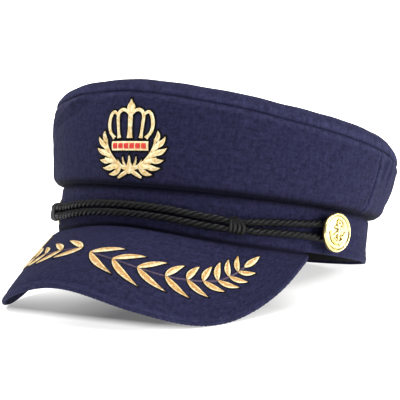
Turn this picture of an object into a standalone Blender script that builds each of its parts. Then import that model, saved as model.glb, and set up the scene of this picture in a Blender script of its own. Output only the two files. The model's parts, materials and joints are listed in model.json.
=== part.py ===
"""A sailor cap of navy cloth, lying on a table as it comes to rest by itself.

The cap is drawn in its own frame: the band's bottom plane is z = 0, the peak points along -Y and
the wearer's left is +X. A turn is an angle round the band, 0 at the front and 180 degrees at the
back. The finished pieces hang on one empty, which tips the cap back until both corners of the peak
and the back of the band lie on the ground. Metres, +Z up.
"""
import math

import bmesh
import bpy
import numpy as np
from mathutils import Matrix, Vector

NAME = "sailor_cap"

# Walls and clearances
CLOTH_WALL = 0.002
GAP = 0.0003

# Band that goes round the head
BAND_WIDTH = 0.185
BAND_LENGTH = 0.191
BAND_HEIGHT = 0.0275
FRONT_RISE = 0.005
FRONT_RISE_TURN = 28.0
SIDE_RISE = 0.0005
HEM_BULGE = 0.0012
SWEATBAND_WALL = 0.0012
SWEATBAND_DROP = 0.0015

# Crown: a side panel in two lengths, and the top panel
CROWN_HEIGHT = 0.053
CROWN_OVERHANG = 0.0175
CROWN_FOLD = 0.005
CROWN_BELLY = 0.002
CROWN_RIM_RISE = 0.0115
CROWN_RIM_INSET = 0.011
CROWN_TOP_DOME = 0.0015
SEAM_DIP = 0.0006
PANEL_SEAM_TURN = 96.0

# Peak
PEAK_LENGTH = 0.068
PEAK_TURN = 69.0
PEAK_ARCH = 0.0035
PEAK_WALL = 0.003
PEAK_TONGUE = 0.0017

# Doubled cord, its sliding knots and the buttons that hold it
CORD_DIAMETER = 0.0049
KNOT_TURN = 39.0
KNOT_LENGTH = 0.010
KNOT_WALL = 0.0013
KNOT_BACK_WALL = 0.0008
KNOT_EASE = 0.009
BUTTON_TURN = 78.0
BUTTON_LEVEL = 0.0142
BUTTON_DIAMETER = 0.023
BUTTON_THICKNESS = 0.0024
BUTTON_SHANK_DIAMETER = 0.004
RELIEF_HEIGHT = 0.0006

# Embroidery
THREAD_RELIEF = 0.001
BADGE_WIDTH = 0.047
BADGE_HEIGHT = 0.045
BADGE_BOTTOM = 0.0035
BADGE_SHIFT = 0.0025
BRANCH_STEM_WIDTH = 0.0015
BRANCH_LEAF_WIDTH = 0.0042
LEAF_STALK = 0.2

# Fineness of the surfaces
RING_STEPS = 64
FRONT_PANEL_STEPS = 36
BACK_PANEL_STEPS = 24
PEAK_STEPS = 38
PEAK_ROWS = 6
KNOT_ARC_STEPS = 6
CORD_BEND_STEPS = 6
CORD_BEVEL_STEPS = 2
BUTTON_STEPS = 20
ANCHOR_RING_STEPS = 10
LONGEST_FLAT_EDGE = 0.005
LEVEL_ANGLE = 0.01
SHORTEST_EDGE = 0.00001
SLOPE_STEP = 0.0005

# Search for the angle at which the cap lies at rest
STEEPEST_REST = 60.0
REST_HALVINGS = 60

# Headband from its hem up: share of its height and of the hem's bulge
HEADBAND_PROFILE = (
    {"height": 0.00, "bulge": 0.5},
    {"height": 0.12, "bulge": 1.0},
    {"height": 0.32, "bulge": 0.0},
    {"height": 1.00, "bulge": 0.0},
)
# Crown seen from above: turn in degrees, then shares of the crown's height, overhang, fold and rim rise
CROWN_SECTIONS = (
    {"turn": 0, "height": 1.000, "overhang": 0.43, "fold": 0.70, "rim": 0.73},
    {"turn": 30, "height": 0.935, "overhang": 0.46, "fold": 0.78, "rim": 0.78},
    {"turn": 60, "height": 0.830, "overhang": 0.53, "fold": 0.92, "rim": 0.87},
    {"turn": 90, "height": 0.745, "overhang": 0.64, "fold": 1.00, "rim": 0.96},
    {"turn": 120, "height": 0.650, "overhang": 0.80, "fold": 1.00, "rim": 0.98},
    {"turn": 150, "height": 0.595, "overhang": 0.94, "fold": 1.05, "rim": 1.00},
    {"turn": 180, "height": 0.575, "overhang": 1.00, "fold": 1.05, "rim": 1.00},
)
# Side panel from the crease up: share of its height, of the fold's reach, of the way from the fold
# to the top seam, of the belly and of the seam's dip
SIDE_PROFILE = (
    {"height": 0.000, "fold": 0.00, "lean": 0.00, "belly": 0.0, "dip": 0.0},
    {"height": 0.004, "fold": 0.55, "lean": 0.00, "belly": 0.0, "dip": 0.0},
    {"height": 0.030, "fold": 0.92, "lean": 0.00, "belly": 0.0, "dip": 0.0},
    {"height": 0.090, "fold": 1.04, "lean": 0.06, "belly": 0.2, "dip": 0.0},
    {"height": 0.340, "fold": 1.00, "lean": 0.32, "belly": 0.9, "dip": 0.0},
    {"height": 0.640, "fold": 1.00, "lean": 0.64, "belly": 0.9, "dip": 0.0},
    {"height": 0.930, "fold": 1.00, "lean": 0.95, "belly": 0.3, "dip": 0.0},
    {"height": 1.000, "fold": 1.00, "lean": 1.00, "belly": 0.0, "dip": 1.0},
)
# Top panel: degrees round the rim's quarter round, then the flat's rings as shares of the way in
RIM_ANGLES = (0, 30, 62, 90)
FLAT_RINGS = (0.45, 0.85)
PEAK_EDGE_ANGLES = (45, 90, 135)
# Peak from its middle to its corner: share of the half turn, length, droop and fan in degrees
PEAK_SECTIONS = (
    {"reach": 0.00, "length": 1.000, "droop": 34.5, "fan": 0.0},
    {"reach": 0.35, "length": 0.993, "droop": 41.5, "fan": 7.0},
    {"reach": 0.65, "length": 0.800, "droop": 55.5, "fan": 11.5},
    {"reach": 0.88, "length": 0.375, "droop": 68.0, "fan": 12.5},
    {"reach": 1.00, "length": 0.060, "droop": 75.0, "fan": 12.0},
)
# Cord from the front to the button: share of the turn, level as a share of the button's, and
# spacing of the two runs as a share of the way from touching to the loop round the shank
CORD_SECTIONS = (
    {"reach": 0.00, "level": 1.00, "spread": 0.00},
    {"reach": 0.20, "level": 0.94, "spread": 0.00},
    {"reach": 0.38, "level": 0.79, "spread": 0.00},
    {"reach": 0.52, "level": 0.74, "spread": 0.02},
    {"reach": 0.70, "level": 0.86, "spread": 0.20},
    {"reach": 0.86, "level": 0.95, "spread": 0.45},
    {"reach": 1.00, "level": 1.00, "spread": 1.00},
)
# Knot from end to end: share of its length and of its outer wall
KNOT_PROFILE = (
    {"along": 0.00, "wall": 0.35},
    {"along": 0.18, "wall": 0.85},
    {"along": 0.50, "wall": 1.00},
    {"along": 0.82, "wall": 0.85},
    {"along": 1.00, "wall": 0.35},
)
# Laurel branch on the peak: where each pair of leaves leaves the stem (degrees and share of the
# peak's length), and how far its upper and lower leaf reach from there
BRANCH_PAIRS = (
    {"turn": 2.3, "out": 0.54, "up": (9.4, -0.13), "down": (11.1, 0.20)},
    {"turn": 10.6, "out": 0.57, "up": (8.2, -0.14), "down": (11.1, 0.20)},
    {"turn": 18.6, "out": 0.58, "up": (6.7, -0.15), "down": (10.4, 0.14)},
    {"turn": 26.9, "out": 0.57, "up": (3.4, -0.17), "down": (8.5, 0.12)},
    {"turn": 32.8, "out": 0.53, "up": (1.5, -0.17), "down": (7.4, 0.09)},
    {"turn": 37.1, "out": 0.49, "up": (0.6, -0.17), "down": (7.0, 0.03)},
    {"turn": 41.0, "out": 0.44, "up": (-1.6, -0.19), "down": (6.9, 0.00)},
    {"turn": 43.8, "out": 0.37, "up": (-2.3, -0.17), "down": (6.2, 0.00)},
    {"turn": 45.9, "out": 0.30, "up": (-2.0, -0.16), "down": (5.7, -0.03)},
)
BRANCH_TIP = {"turn": 47.3, "out": 0.24, "up": (3.7, -0.14)}
BRANCH_TAPER = 0.3
BRANCH_TIP_ROOT = 0.3
LEAF_BEND = 0.06
LEAF_STEPS = 4
# Badge, as shares of its half width and its height: wreath leaves on one side, root and tip
WREATH_LEAVES = (
    {"root": (0.28, 0.14), "tip": (0.64, 0.055), "width": 0.075},
    {"root": (0.42, 0.19), "tip": (0.84, 0.14), "width": 0.080},
    {"root": (0.54, 0.26), "tip": (0.93, 0.24), "width": 0.080},
    {"root": (0.62, 0.33), "tip": (1.00, 0.39), "width": 0.080},
    {"root": (0.68, 0.40), "tip": (0.95, 0.53), "width": 0.075},
    {"root": (0.70, 0.46), "tip": (0.75, 0.60), "width": 0.065},
    {"root": (0.08, 0.12), "tip": (0.28, 0.25), "width": 0.050},
    {"root": (0.04, 0.12), "tip": (0.15, 0.28), "width": 0.050},
)
WREATH_STEM = ((-0.34, 0.015), (0.00, 0.11), (0.30, 0.165), (0.53, 0.27), (0.67, 0.40), (0.69, 0.50))
WREATH_STEM_WIDTH = 0.05
WREATH_MIDDLE = {"root": (0.00, 0.06), "tip": (0.00, 0.29), "width": 0.10}
# Badge crown: the line of each bar on one side, as shares of the badge's half width and of the
# height left above the jewelled band
CROWN_BARS = (
    ((0.02, 0.576), (0.12, 0.687), (0.26, 0.717), (0.375, 0.596), (0.36, 0.313), (0.32, 0.0)),
    ((0.375, 0.576), (0.50, 0.667), (0.60, 0.576), (0.645, 0.354), (0.60, 0.152), (0.47, 0.0)),
)
CROWN_POST = ((0.00, 0.0), (0.00, 0.293), (0.00, 0.677))
CROWN_FINIAL = {"root": (0.00, 0.616), "tip": (0.00, 1.00), "width": 0.105}
CROWN_CLEARANCE = 0.04
CROWN_BAR_WIDTH = 0.042
CROWN_POST_WIDTH = 0.062
CROWN_POST_FOOT = 1.3
WREATH_STEM_STEPS = 9
CROWN_BAR_STEPS = 10
JEWEL_BAND = {"left": -0.52, "right": 0.52, "bottom": 0.350, "top": 0.465}
JEWEL_COUNT = 6
JEWEL_SHARE = 0.5
JEWEL_BAND_MARGIN = 0.2
JEWEL_RELIEF = 0.0006

# Anchor on the button, as shares of the button's radius: strokes with a width each
ANCHOR_STROKES = (
    {"points": ((0.00, 0.38), (0.00, -0.50)), "width": 0.13},
    {"points": ((-0.24, 0.26), (0.24, 0.26)), "width": 0.11},
    {"points": ((-0.44, -0.18), (-0.34, -0.38), (0.00, -0.52), (0.34, -0.38), (0.44, -0.18)), "width": 0.12},
)
ANCHOR_RING = {"centre": (0.0, 0.46), "radius": 0.11, "width": 0.07}
# Button's turned outline from the middle of its face to its back: shares of radius and thickness
BUTTON_PROFILE = (
    {"out": 0.00, "up": 0.92},
    {"out": 0.45, "up": 0.86},
    {"out": 0.80, "up": 0.66},
    {"out": 0.88, "up": 0.98},
    {"out": 0.96, "up": 0.92},
    {"out": 1.00, "up": 0.52},
    {"out": 0.95, "up": 0.00},
)
RELIEF_ROOT = 0.4

MATERIALS = {
    "navy_cloth": {"colour": (0.028, 0.028, 0.080), "roughness": 0.85, "metallic": 0.0},
    "black_band": {"colour": (0.008, 0.008, 0.010), "roughness": 0.70, "metallic": 0.0},
    "black_cord": {"colour": (0.012, 0.012, 0.014), "roughness": 0.55, "metallic": 0.0},
    "gold_thread": {"colour": (0.85, 0.60, 0.22), "roughness": 0.45, "metallic": 0.0},
    "red_thread": {"colour": (0.70, 0.05, 0.03), "roughness": 0.55, "metallic": 0.0},
    "gold_metal": {"colour": (0.95, 0.78, 0.38), "roughness": 0.25, "metallic": 1.0},
}


def clear_scene():
    for thing in list(bpy.data.objects):
        bpy.data.objects.remove(thing, do_unlink=True)


def make_material(name):
    values = MATERIALS[name]
    material = bpy.data.materials.new(name)
    material.use_nodes = True
    shader = material.node_tree.nodes["Principled BSDF"]
    shader.inputs["Base Color"].default_value = (*values["colour"], 1.0)
    shader.inputs["Roughness"].default_value = values["roughness"]
    shader.inputs["Metallic"].default_value = values["metallic"]
    return material


def read_table(rows, place, column, x, flat_start=True, flat_end=True):
    """A smooth curve through one column of a table, read at x."""
    xs = [row[place] for row in rows]
    ys = [row[column] for row in rows]
    steps = [(ys[i + 1] - ys[i]) / (xs[i + 1] - xs[i]) for i in range(len(xs) - 1)]
    slopes = [(steps[i - 1] + steps[i]) / 2 for i in range(1, len(steps))]
    slopes = [0.0 if flat_start else steps[0], *slopes, 0.0 if flat_end else steps[-1]]
    x = min(max(x, xs[0]), xs[-1])
    i = min(sum(x >= value for value in xs[1:-1]), len(steps) - 1)
    span = xs[i + 1] - xs[i]
    s = (x - xs[i]) / span
    rise = ys[i] * (1 + 2 * s) * (1 - s) ** 2 + ys[i + 1] * (3 - 2 * s) * s ** 2
    return rise + span * (slopes[i] * s * (1 - s) ** 2 - slopes[i + 1] * s ** 2 * (1 - s))


def smooth_line(points, count):
    """Points at even steps on a smooth curve through a few given ones."""
    rows = [{"at": i, "x": point[0], "y": point[1]} for i, point in enumerate(points)]
    places = [i * (len(points) - 1) / (count - 1) for i in range(count)]
    return [tuple(read_table(rows, "at", axis, at, False, False) for axis in "xy") for at in places]


def folded_turn(turn):
    """The turn from the front, 0 to 180 degrees, on either side."""
    return abs((turn + 180.0) % 360.0 - 180.0)


def band_radius_point(turn):
    angle = math.radians(turn)
    half_width = BAND_WIDTH / 2
    half_length = BAND_LENGTH / 2
    reach = 1 / math.hypot(math.sin(angle) / half_width, math.cos(angle) / half_length)
    return Vector((reach * math.sin(angle), -reach * math.cos(angle), 0))


def band_normal(turn):
    point = band_radius_point(turn)
    return Vector((point.x / (BAND_WIDTH / 2) ** 2, point.y / (BAND_LENGTH / 2) ** 2, 0)).normalized()


def band_point(turn, out, height):
    """A point so far outside the band's cloth and above its bottom plane."""
    return band_radius_point(turn) + band_normal(turn) * out + Vector((0, 0, height))


def band_bottom(turn):
    """The band's lower edge rises over the middle of the peak."""
    front = FRONT_RISE * math.exp(-(folded_turn(turn) / FRONT_RISE_TURN) ** 2)
    return front + SIDE_RISE * 0.5 * (1 - math.cos(2 * math.radians(turn)))


def crown_value(turn, column):
    return read_table(CROWN_SECTIONS, "turn", column, folded_turn(turn))


def side_panel_height(turn):
    return CROWN_HEIGHT * crown_value(turn, "height")


def side_panel_point(turn, row):
    """A point of the side panel's outer face, for one row of its profile."""
    fold = CROWN_FOLD * crown_value(turn, "fold")
    top = CROWN_OVERHANG * crown_value(turn, "overhang")
    out = fold * row["fold"] + (top - fold) * row["lean"]
    out += CROWN_BELLY * row["belly"] - SEAM_DIP * row["dip"]
    rise = GAP + (side_panel_height(turn) - 2 * GAP) * row["height"]
    return band_point(turn, out, BAND_HEIGHT + rise)


def side_panel_face(turn, height):
    """A point of the side panel's outer face at a height above the crease."""
    share = height / side_panel_height(turn)
    row = {"height": share}
    for column in ("fold", "lean", "belly", "dip"):
        row[column] = read_table(SIDE_PROFILE, "height", column, share, False, False)
    return side_panel_point(turn, row)


def peak_value(turn, column, flat_start=True):
    reach = min(abs(turn) / PEAK_TURN, 1.0)
    return read_table(PEAK_SECTIONS, "reach", column, reach, flat_start, False)


def peak_frame(turn):
    """The root of the peak's section, its run outward, its rise and its length."""
    droop = math.radians(peak_value(turn, "droop"))
    fan = math.copysign(math.radians(peak_value(turn, "fan", False)), turn)
    outward = Vector((math.sin(fan), -math.cos(fan), 0))
    up = Vector((0, 0, 1))
    run = outward * math.cos(droop) - up * math.sin(droop)
    rise = outward * math.sin(droop) + up * math.cos(droop)
    length = PEAK_LENGTH * peak_value(turn, "length")
    root = band_point(turn, 0, band_bottom(turn) - GAP)
    return root, run, rise, length


def peak_section(turn, share):
    """A point of the peak's upper face at a share of its length, and the outward normal there."""
    root, run, rise, length = peak_frame(turn)
    arch = PEAK_ARCH * length / PEAK_LENGTH
    point = root + run * length * share + rise * arch * 4 * share * (1 - share)
    slope = arch * 4 * (1 - 2 * share) / length
    normal = (rise - run * slope).normalized()
    return point, normal


def new_object(name, mesh, material, pieces, rest):
    thing = bpy.data.objects.new(name, mesh)
    mesh.materials.append(material)
    pieces.objects.link(thing)
    thing.parent = rest
    return thing


def smooth(mesh, degrees=40):
    mesh.shade_smooth()
    mesh.set_sharp_from_angle(angle=math.radians(degrees))


def skin(name, rows, around, middle_point=None):
    """A mesh through rows of points, closed round or open, with an optional middle point."""
    mesh = bpy.data.meshes.new(name)
    form = bmesh.new()
    grid = [[form.verts.new(point) for point in row] for row in rows]
    count = len(rows[0])
    for low, high in zip(grid, grid[1:]):
        for i in range(count if around else count - 1):
            j = (i + 1) % count
            form.faces.new((low[i], low[j], high[j], high[i]))
    if middle_point is not None:
        middle = form.verts.new(middle_point)
        last = grid[-1]
        for i in range(count):
            form.faces.new((last[i], last[(i + 1) % count], middle))
    form.to_mesh(mesh)
    form.free()
    smooth(mesh)
    return mesh


def face_outward(form):
    """Turns the faces of one closed body outward."""
    bmesh.ops.recalc_face_normals(form, faces=form.faces[:])
    if form.calc_volume(signed=True) < 0:
        bmesh.ops.reverse_faces(form, faces=form.faces[:])


def thicken(thing, wall):
    solidify = thing.modifiers.new("wall", "SOLIDIFY")
    solidify.thickness = wall
    solidify.offset = -1
    solidify.use_even_offset = True


def loft(name, sections):
    """A closed body through a run of closed sections with as many points each."""
    mesh = bpy.data.meshes.new(name)
    form = bmesh.new()
    grid = [[form.verts.new(point) for point in section] for section in sections]
    count = len(sections[0])
    for here, there in zip(grid, grid[1:]):
        for i in range(count):
            j = (i + 1) % count
            form.faces.new((here[i], here[j], there[j], there[i]))
    form.faces.new(reversed(grid[0]))
    form.faces.new(grid[-1])
    face_outward(form)
    form.to_mesh(mesh)
    form.free()
    smooth(mesh)
    return mesh


def even_turns(start, end, steps):
    return [start + (end - start) * i / steps for i in range(steps + 1)]


def make_headband(materials, pieces, rest):
    turns = even_turns(0, 360, RING_STEPS)[:-1]
    rows = []
    for level in HEADBAND_PROFILE:
        row = []
        for turn in turns:
            low = band_bottom(turn)
            hem = HEM_BULGE * level["bulge"] * (1 - math.cos(math.radians(turn))) / 2
            row.append(band_point(turn, hem, low + (BAND_HEIGHT - low) * level["height"]))
        rows.append(row)
    band = new_object("headband", skin("headband", rows, True), materials["navy_cloth"], pieces, rest)
    thicken(band, CLOTH_WALL)


def make_sweatband(materials, pieces, rest):
    turns = even_turns(0, 360, RING_STEPS * 3 // 4)[:-1]
    inside = -(CLOTH_WALL + GAP)
    rows = []
    for share in (0, 1):
        row = []
        for turn in turns:
            low = band_bottom(turn) + SWEATBAND_DROP
            row.append(band_point(turn, inside, low + (BAND_HEIGHT - SWEATBAND_DROP - low) * share))
        rows.append(row)
    band = new_object("sweatband", skin("sweatband", rows, True), materials["black_band"], pieces, rest)
    thicken(band, SWEATBAND_WALL)


def make_side_panels(materials, pieces, rest):
    """The front and back lengths of the side panel, with a clearance at the seams between them."""
    clearance = math.degrees(GAP / BAND_WIDTH)
    front_end = PANEL_SEAM_TURN - clearance
    back_start = PANEL_SEAM_TURN + clearance
    stretches = {
        "crown_side_front": even_turns(-front_end, front_end, FRONT_PANEL_STEPS),
        "crown_side_back": even_turns(back_start, 360 - back_start, BACK_PANEL_STEPS),
    }
    for name, turns in stretches.items():
        rows = [[side_panel_point(turn, row) for turn in turns] for row in SIDE_PROFILE]
        panel = new_object(name, skin(name, rows, False), materials["navy_cloth"], pieces, rest)
        thicken(panel, CLOTH_WALL)


def top_panel_point(turn, degrees):
    angle = math.radians(degrees)
    out = CROWN_OVERHANG * crown_value(turn, "overhang") - CROWN_RIM_INSET * (1 - math.cos(angle))
    if degrees == 0:
        out -= SEAM_DIP
    rise = CROWN_RIM_RISE * crown_value(turn, "rim") * math.sin(angle)
    return band_point(turn, out, BAND_HEIGHT + side_panel_height(turn) + rise)


def make_top_panel(materials, pieces, rest):
    turns = even_turns(0, 360, RING_STEPS)[:-1]
    rows = [[top_panel_point(turn, degrees) for turn in turns] for degrees in RIM_ANGLES]
    edge = rows[-1]
    middle = sum(edge, Vector()) / len(edge) + Vector((0, 0, CROWN_TOP_DOME))
    for share in FLAT_RINGS:
        bow = CROWN_TOP_DOME * share * (1 - share)
        rows.append([point.lerp(middle, share) + Vector((0, 0, bow)) for point in edge])
    mesh = skin("crown_top", rows, True, middle)
    panel = new_object("crown_top", mesh, materials["navy_cloth"], pieces, rest)
    thicken(panel, CLOTH_WALL)


def make_peak(materials, pieces, rest):
    sections = []
    edge = PEAK_WALL / 2
    for turn in even_turns(-PEAK_TURN, PEAK_TURN, PEAK_STEPS):
        length = peak_frame(turn)[3]
        end = 1 - edge / length
        upper = [peak_section(turn, end * i / PEAK_ROWS) for i in range(PEAK_ROWS + 1)]
        section = [band_point(turn, -PEAK_TONGUE, band_bottom(turn) - GAP)]
        section += [point for point, normal in upper]
        last, normal = upper[-1]
        along = (last - upper[-2][0]).normalized()
        centre = last - normal * edge
        for degrees in PEAK_EDGE_ANGLES:
            angle = math.radians(degrees)
            section.append(centre + normal * edge * math.cos(angle) + along * edge * math.sin(angle))
        section += [point - normal * PEAK_WALL for point, normal in reversed(upper)]
        sections.append(section)
    new_object("peak", loft("peak", sections), materials["navy_cloth"], pieces, rest)


def cord_radius():
    return CORD_DIAMETER / 2


def cord_level(turn):
    reach = min(abs(turn) / BUTTON_TURN, 1.0)
    return BUTTON_LEVEL * read_table(CORD_SECTIONS, "reach", "level", reach)


def loop_radius():
    """The cord's bend round the button's shank, to the middle of the cord."""
    return BUTTON_SHANK_DIAMETER / 2 + GAP + cord_radius()


def cord_half_spacing(turn):
    touching = cord_radius() + GAP / 2
    reach = min(abs(turn) / BUTTON_TURN, 1.0)
    return touching + (loop_radius() - touching) * read_table(CORD_SECTIONS, "reach", "spread", reach)


def band_length_per_degree():
    return math.radians(1) * (BAND_WIDTH + BAND_LENGTH) / 4


def knot_reach():
    """Half the length over which the cord runs clear of the band, in degrees."""
    return (KNOT_LENGTH / 2 + cord_radius()) / band_length_per_degree()


def cord_standoff(turn):
    """The cord's middle line stands off the band, further under the knots."""
    away = (abs(abs(turn) - KNOT_TURN) - knot_reach()) * band_length_per_degree()
    share = min(max(1 - away / KNOT_EASE, 0), 1)
    lift = (KNOT_BACK_WALL + GAP) * share * share * (3 - 2 * share)
    return GAP + cord_radius() + lift


def cord_point(turn, level):
    return band_point(turn, cord_standoff(turn), level)


def cord_turns():
    """Turns of the points along a run, with one at each end of a knot's stretch."""
    reach = knot_reach()
    marks = [side * KNOT_TURN + end * reach for side in (-1, 1) for end in (-1, 1)]
    marks = [-BUTTON_TURN, *marks, BUTTON_TURN]
    turns = []
    for start, end in zip(marks, marks[1:]):
        steps = max(2, round((end - start) * band_length_per_degree() / (2 * CORD_DIAMETER)))
        turns += even_turns(start, end, steps)[:-1]
    return [*turns, BUTTON_TURN]


def cord_loop():
    """The doubled cord as one loop: an upper run, a lower run and a bend round each shank."""
    upper = []
    lower = []
    for turn in cord_turns():
        upper.append(cord_point(turn, cord_level(turn) + cord_half_spacing(turn)))
        lower.append(cord_point(turn, cord_level(turn) - cord_half_spacing(turn)))
    bends = {}
    for side in (1, -1):
        bend = []
        for i in range(1, CORD_BEND_STEPS):
            angle = math.pi * i / CORD_BEND_STEPS
            beyond = loop_radius() * math.sin(angle) / band_length_per_degree()
            level = BUTTON_LEVEL + loop_radius() * math.cos(angle)
            bend.append(cord_point(side * (BUTTON_TURN + beyond), level))
        bends[side] = bend
    return upper + bends[1] + lower[::-1] + bends[-1][::-1]


def make_cord(materials, pieces, rest):
    points = cord_loop()
    curve = bpy.data.curves.new("band_cord", "CURVE")
    curve.dimensions = "3D"
    curve.bevel_depth = cord_radius()
    curve.bevel_resolution = CORD_BEVEL_STEPS
    curve.use_fill_caps = True
    spline = curve.splines.new("POLY")
    spline.points.add(len(points) - 1)
    for knot, point in zip(spline.points, points):
        knot.co = (*point, 1)
    spline.use_cyclic_u = True
    spline.use_smooth = True
    new_object("band_cord", curve, materials["black_cord"], pieces, rest)


def stadium(half_height, radius):
    """A tall outline with round ends, as (out, up) pairs."""
    points = []
    for end in (1, -1):
        for i in range(KNOT_ARC_STEPS + 1):
            angle = math.pi * i / KNOT_ARC_STEPS
            x = end * radius * math.cos(angle)
            y = end * (half_height + radius * math.sin(angle))
            points.append((x, y))
    return points


def make_knot(name, side, materials, pieces, rest):
    """A wrapped sleeve round both runs of the cord, thin at its ends and on the band's side."""
    inner_radius = (cord_radius() + GAP) / math.cos(math.pi / KNOT_ARC_STEPS / 2)
    mesh = bpy.data.meshes.new(name)
    form = bmesh.new()
    inner_rings = []
    outer_rings = []
    half_length = KNOT_LENGTH / 2 / band_length_per_degree()
    standoff = cord_standoff(side * KNOT_TURN)
    for row in KNOT_PROFILE:
        turn = side * (KNOT_TURN + half_length * (2 * row["along"] - 1))
        level = cord_level(turn)
        half = cord_half_spacing(turn)
        inner = []
        for x, y in stadium(half, inner_radius):
            inner.append(band_point(turn, standoff + x, level + y))
        outer = []
        for x, y in stadium(half, inner_radius + KNOT_WALL * row["wall"]):
            outer.append(band_point(turn, max(standoff + x, GAP), level + y))
        inner_rings.append([form.verts.new(point) for point in inner])
        outer_rings.append([form.verts.new(point) for point in outer])
    count = len(inner_rings[0])
    for rings in (inner_rings, outer_rings):
        for here, there in zip(rings, rings[1:]):
            for i in range(count):
                j = (i + 1) % count
                form.faces.new((here[i], here[j], there[j], there[i]))
    for inner, outer in ((inner_rings[0], outer_rings[0]), (inner_rings[-1], outer_rings[-1])):
        for i in range(count):
            j = (i + 1) % count
            form.faces.new((inner[i], inner[j], outer[j], outer[i]))
    face_outward(form)
    form.to_mesh(mesh)
    form.free()
    smooth(mesh)
    new_object(name, mesh, materials["black_cord"], pieces, rest)


def prism(outline, low, high):
    """A flat outline given a thickness, as a bare mesh."""
    mesh = bpy.data.meshes.new("prism")
    form = bmesh.new()
    bottom = [form.verts.new((x, y, low)) for x, y in outline]
    top = [form.verts.new((x, y, high)) for x, y in outline]
    count = len(outline)
    for i in range(count):
        j = (i + 1) % count
        form.faces.new((bottom[i], bottom[j], top[j], top[i]))
    form.faces.new(reversed(bottom))
    form.faces.new(top)
    face_outward(form)
    form.to_mesh(mesh)
    form.free()
    return mesh


def stroke_outline(points, widths):
    """The outline of a line drawn with a width at each of its points."""
    left = []
    right = []
    for i, (x, y) in enumerate(points):
        before = points[max(i - 1, 0)]
        after = points[min(i + 1, len(points) - 1)]
        along = Vector((after[0] - before[0], after[1] - before[1])).normalized()
        half = widths[i] / 2
        left.append((x - along.y * half, y + along.x * half))
        right.append((x + along.y * half, y - along.x * half))
    return left + right[::-1]


def leaf_outline(root, tip, width, bend=0.0):
    """A pointed leaf that is widest near its middle, bowed sideways by a share of its length."""
    root = Vector(root)
    tip = Vector(tip)
    along = tip - root
    across = Vector((-along.y, along.x))
    left = []
    right = []
    for i in range(LEAF_STEPS):
        share = i / LEAF_STEPS
        middle = root + along * share + across * bend * 4 * share * (1 - share)
        fullness = LEAF_STALK + (1 - LEAF_STALK) * math.sin(math.pi * share ** 0.85)
        half = across.normalized() * width / 2 * fullness
        left.append(tuple(middle + half))
        right.append(tuple(middle - half))
    return [*left, tuple(tip), *right[::-1]]


def joined(outlines, low, high, cutters):
    """One body from overlapping flat outlines, joined by Boolean unions."""
    body = bpy.data.objects.new("union", prism(outlines[0], low, high))
    cutters.objects.link(body)
    for outline in outlines[1:]:
        extra = bpy.data.objects.new("extra", prism(outline, low, high))
        cutters.objects.link(extra)
        unite(body, extra)
    return body


def simplify(form):
    """Joins the level faces that a union leaves, and makes triangles."""
    bmesh.ops.dissolve_limit(form, angle_limit=LEVEL_ANGLE, verts=form.verts[:], edges=form.edges[:])
    bmesh.ops.dissolve_degenerate(form, dist=SHORTEST_EDGE, edges=form.edges[:])
    for edge in form.edges[:]:
        cuts = int(edge.calc_length() / LONGEST_FLAT_EDGE)
        if cuts:
            bmesh.ops.subdivide_edges(form, edges=[edge], cuts=cuts)
    bmesh.ops.triangulate(form, faces=form.faces[:])


def unite(body, extra):
    """Joins one object's mesh to another's, and removes the second."""
    union = body.modifiers.new("union", "BOOLEAN")
    union.operation = "UNION"
    union.object = extra
    union.solver = "EXACT"
    bpy.context.view_layer.update()
    graph = bpy.context.evaluated_depsgraph_get()
    mesh = bpy.data.meshes.new_from_object(body.evaluated_get(graph))
    body.modifiers.clear()
    body.data = mesh
    bpy.data.objects.remove(extra, do_unlink=True)


def laid_on(body, name, place, material, pieces, rest):
    """Bends a flat body onto a curved face, where place(x, y) gives a point and its normal."""
    mesh = body.data
    form = bmesh.new()
    form.from_mesh(mesh)
    simplify(form)
    for vertex in form.verts:
        point, normal = place(vertex.co.x, vertex.co.y)
        vertex.co = point + normal * vertex.co.z
    if form.calc_volume(signed=True) < 0:
        bmesh.ops.reverse_faces(form, faces=form.faces[:])
    form.to_mesh(mesh)
    form.free()
    smooth(mesh)
    mesh.materials.clear()
    bpy.data.objects.remove(body, do_unlink=True)
    new_object(name, mesh, material, pieces, rest)


def peak_place(side):
    """Maps (length along the seam, share of the peak's length) onto the peak's upper face."""
    def place(x, y):
        turn = side * x / band_length_per_degree()
        return peak_section(turn, y / peak_frame(turn)[3])
    return place


def make_branch(name, side, materials, pieces, cutters, rest):
    """A laurel branch: a stem with pairs of leaves, drawn flat and laid on the peak."""
    def flat(turn, out):
        return (turn * band_length_per_degree(), out * PEAK_LENGTH)
    roots = [flat(pair["turn"], pair["out"]) for pair in (*BRANCH_PAIRS, BRANCH_TIP)]
    outlines = [stroke_outline(roots, [BRANCH_STEM_WIDTH] * len(roots))]
    for i, pair in enumerate(BRANCH_PAIRS):
        width = BRANCH_LEAF_WIDTH * (1 - BRANCH_TAPER * i / len(BRANCH_PAIRS))
        for reach, bend in ((pair["up"], -LEAF_BEND), (pair["down"], LEAF_BEND)):
            tip = flat(pair["turn"] + reach[0], pair["out"] + reach[1])
            outlines.append(leaf_outline(roots[i], tip, width, bend))
    tip = flat(BRANCH_TIP["turn"] + BRANCH_TIP["up"][0], BRANCH_TIP["out"] + BRANCH_TIP["up"][1])
    root = tuple(Vector(roots[-1]).lerp(Vector(roots[-2]), BRANCH_TIP_ROOT))
    outlines.append(leaf_outline(root, tip, BRANCH_LEAF_WIDTH))
    body = joined(outlines, GAP, GAP + THREAD_RELIEF, cutters)
    laid_on(body, name, peak_place(side), materials["gold_thread"], pieces, rest)


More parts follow.
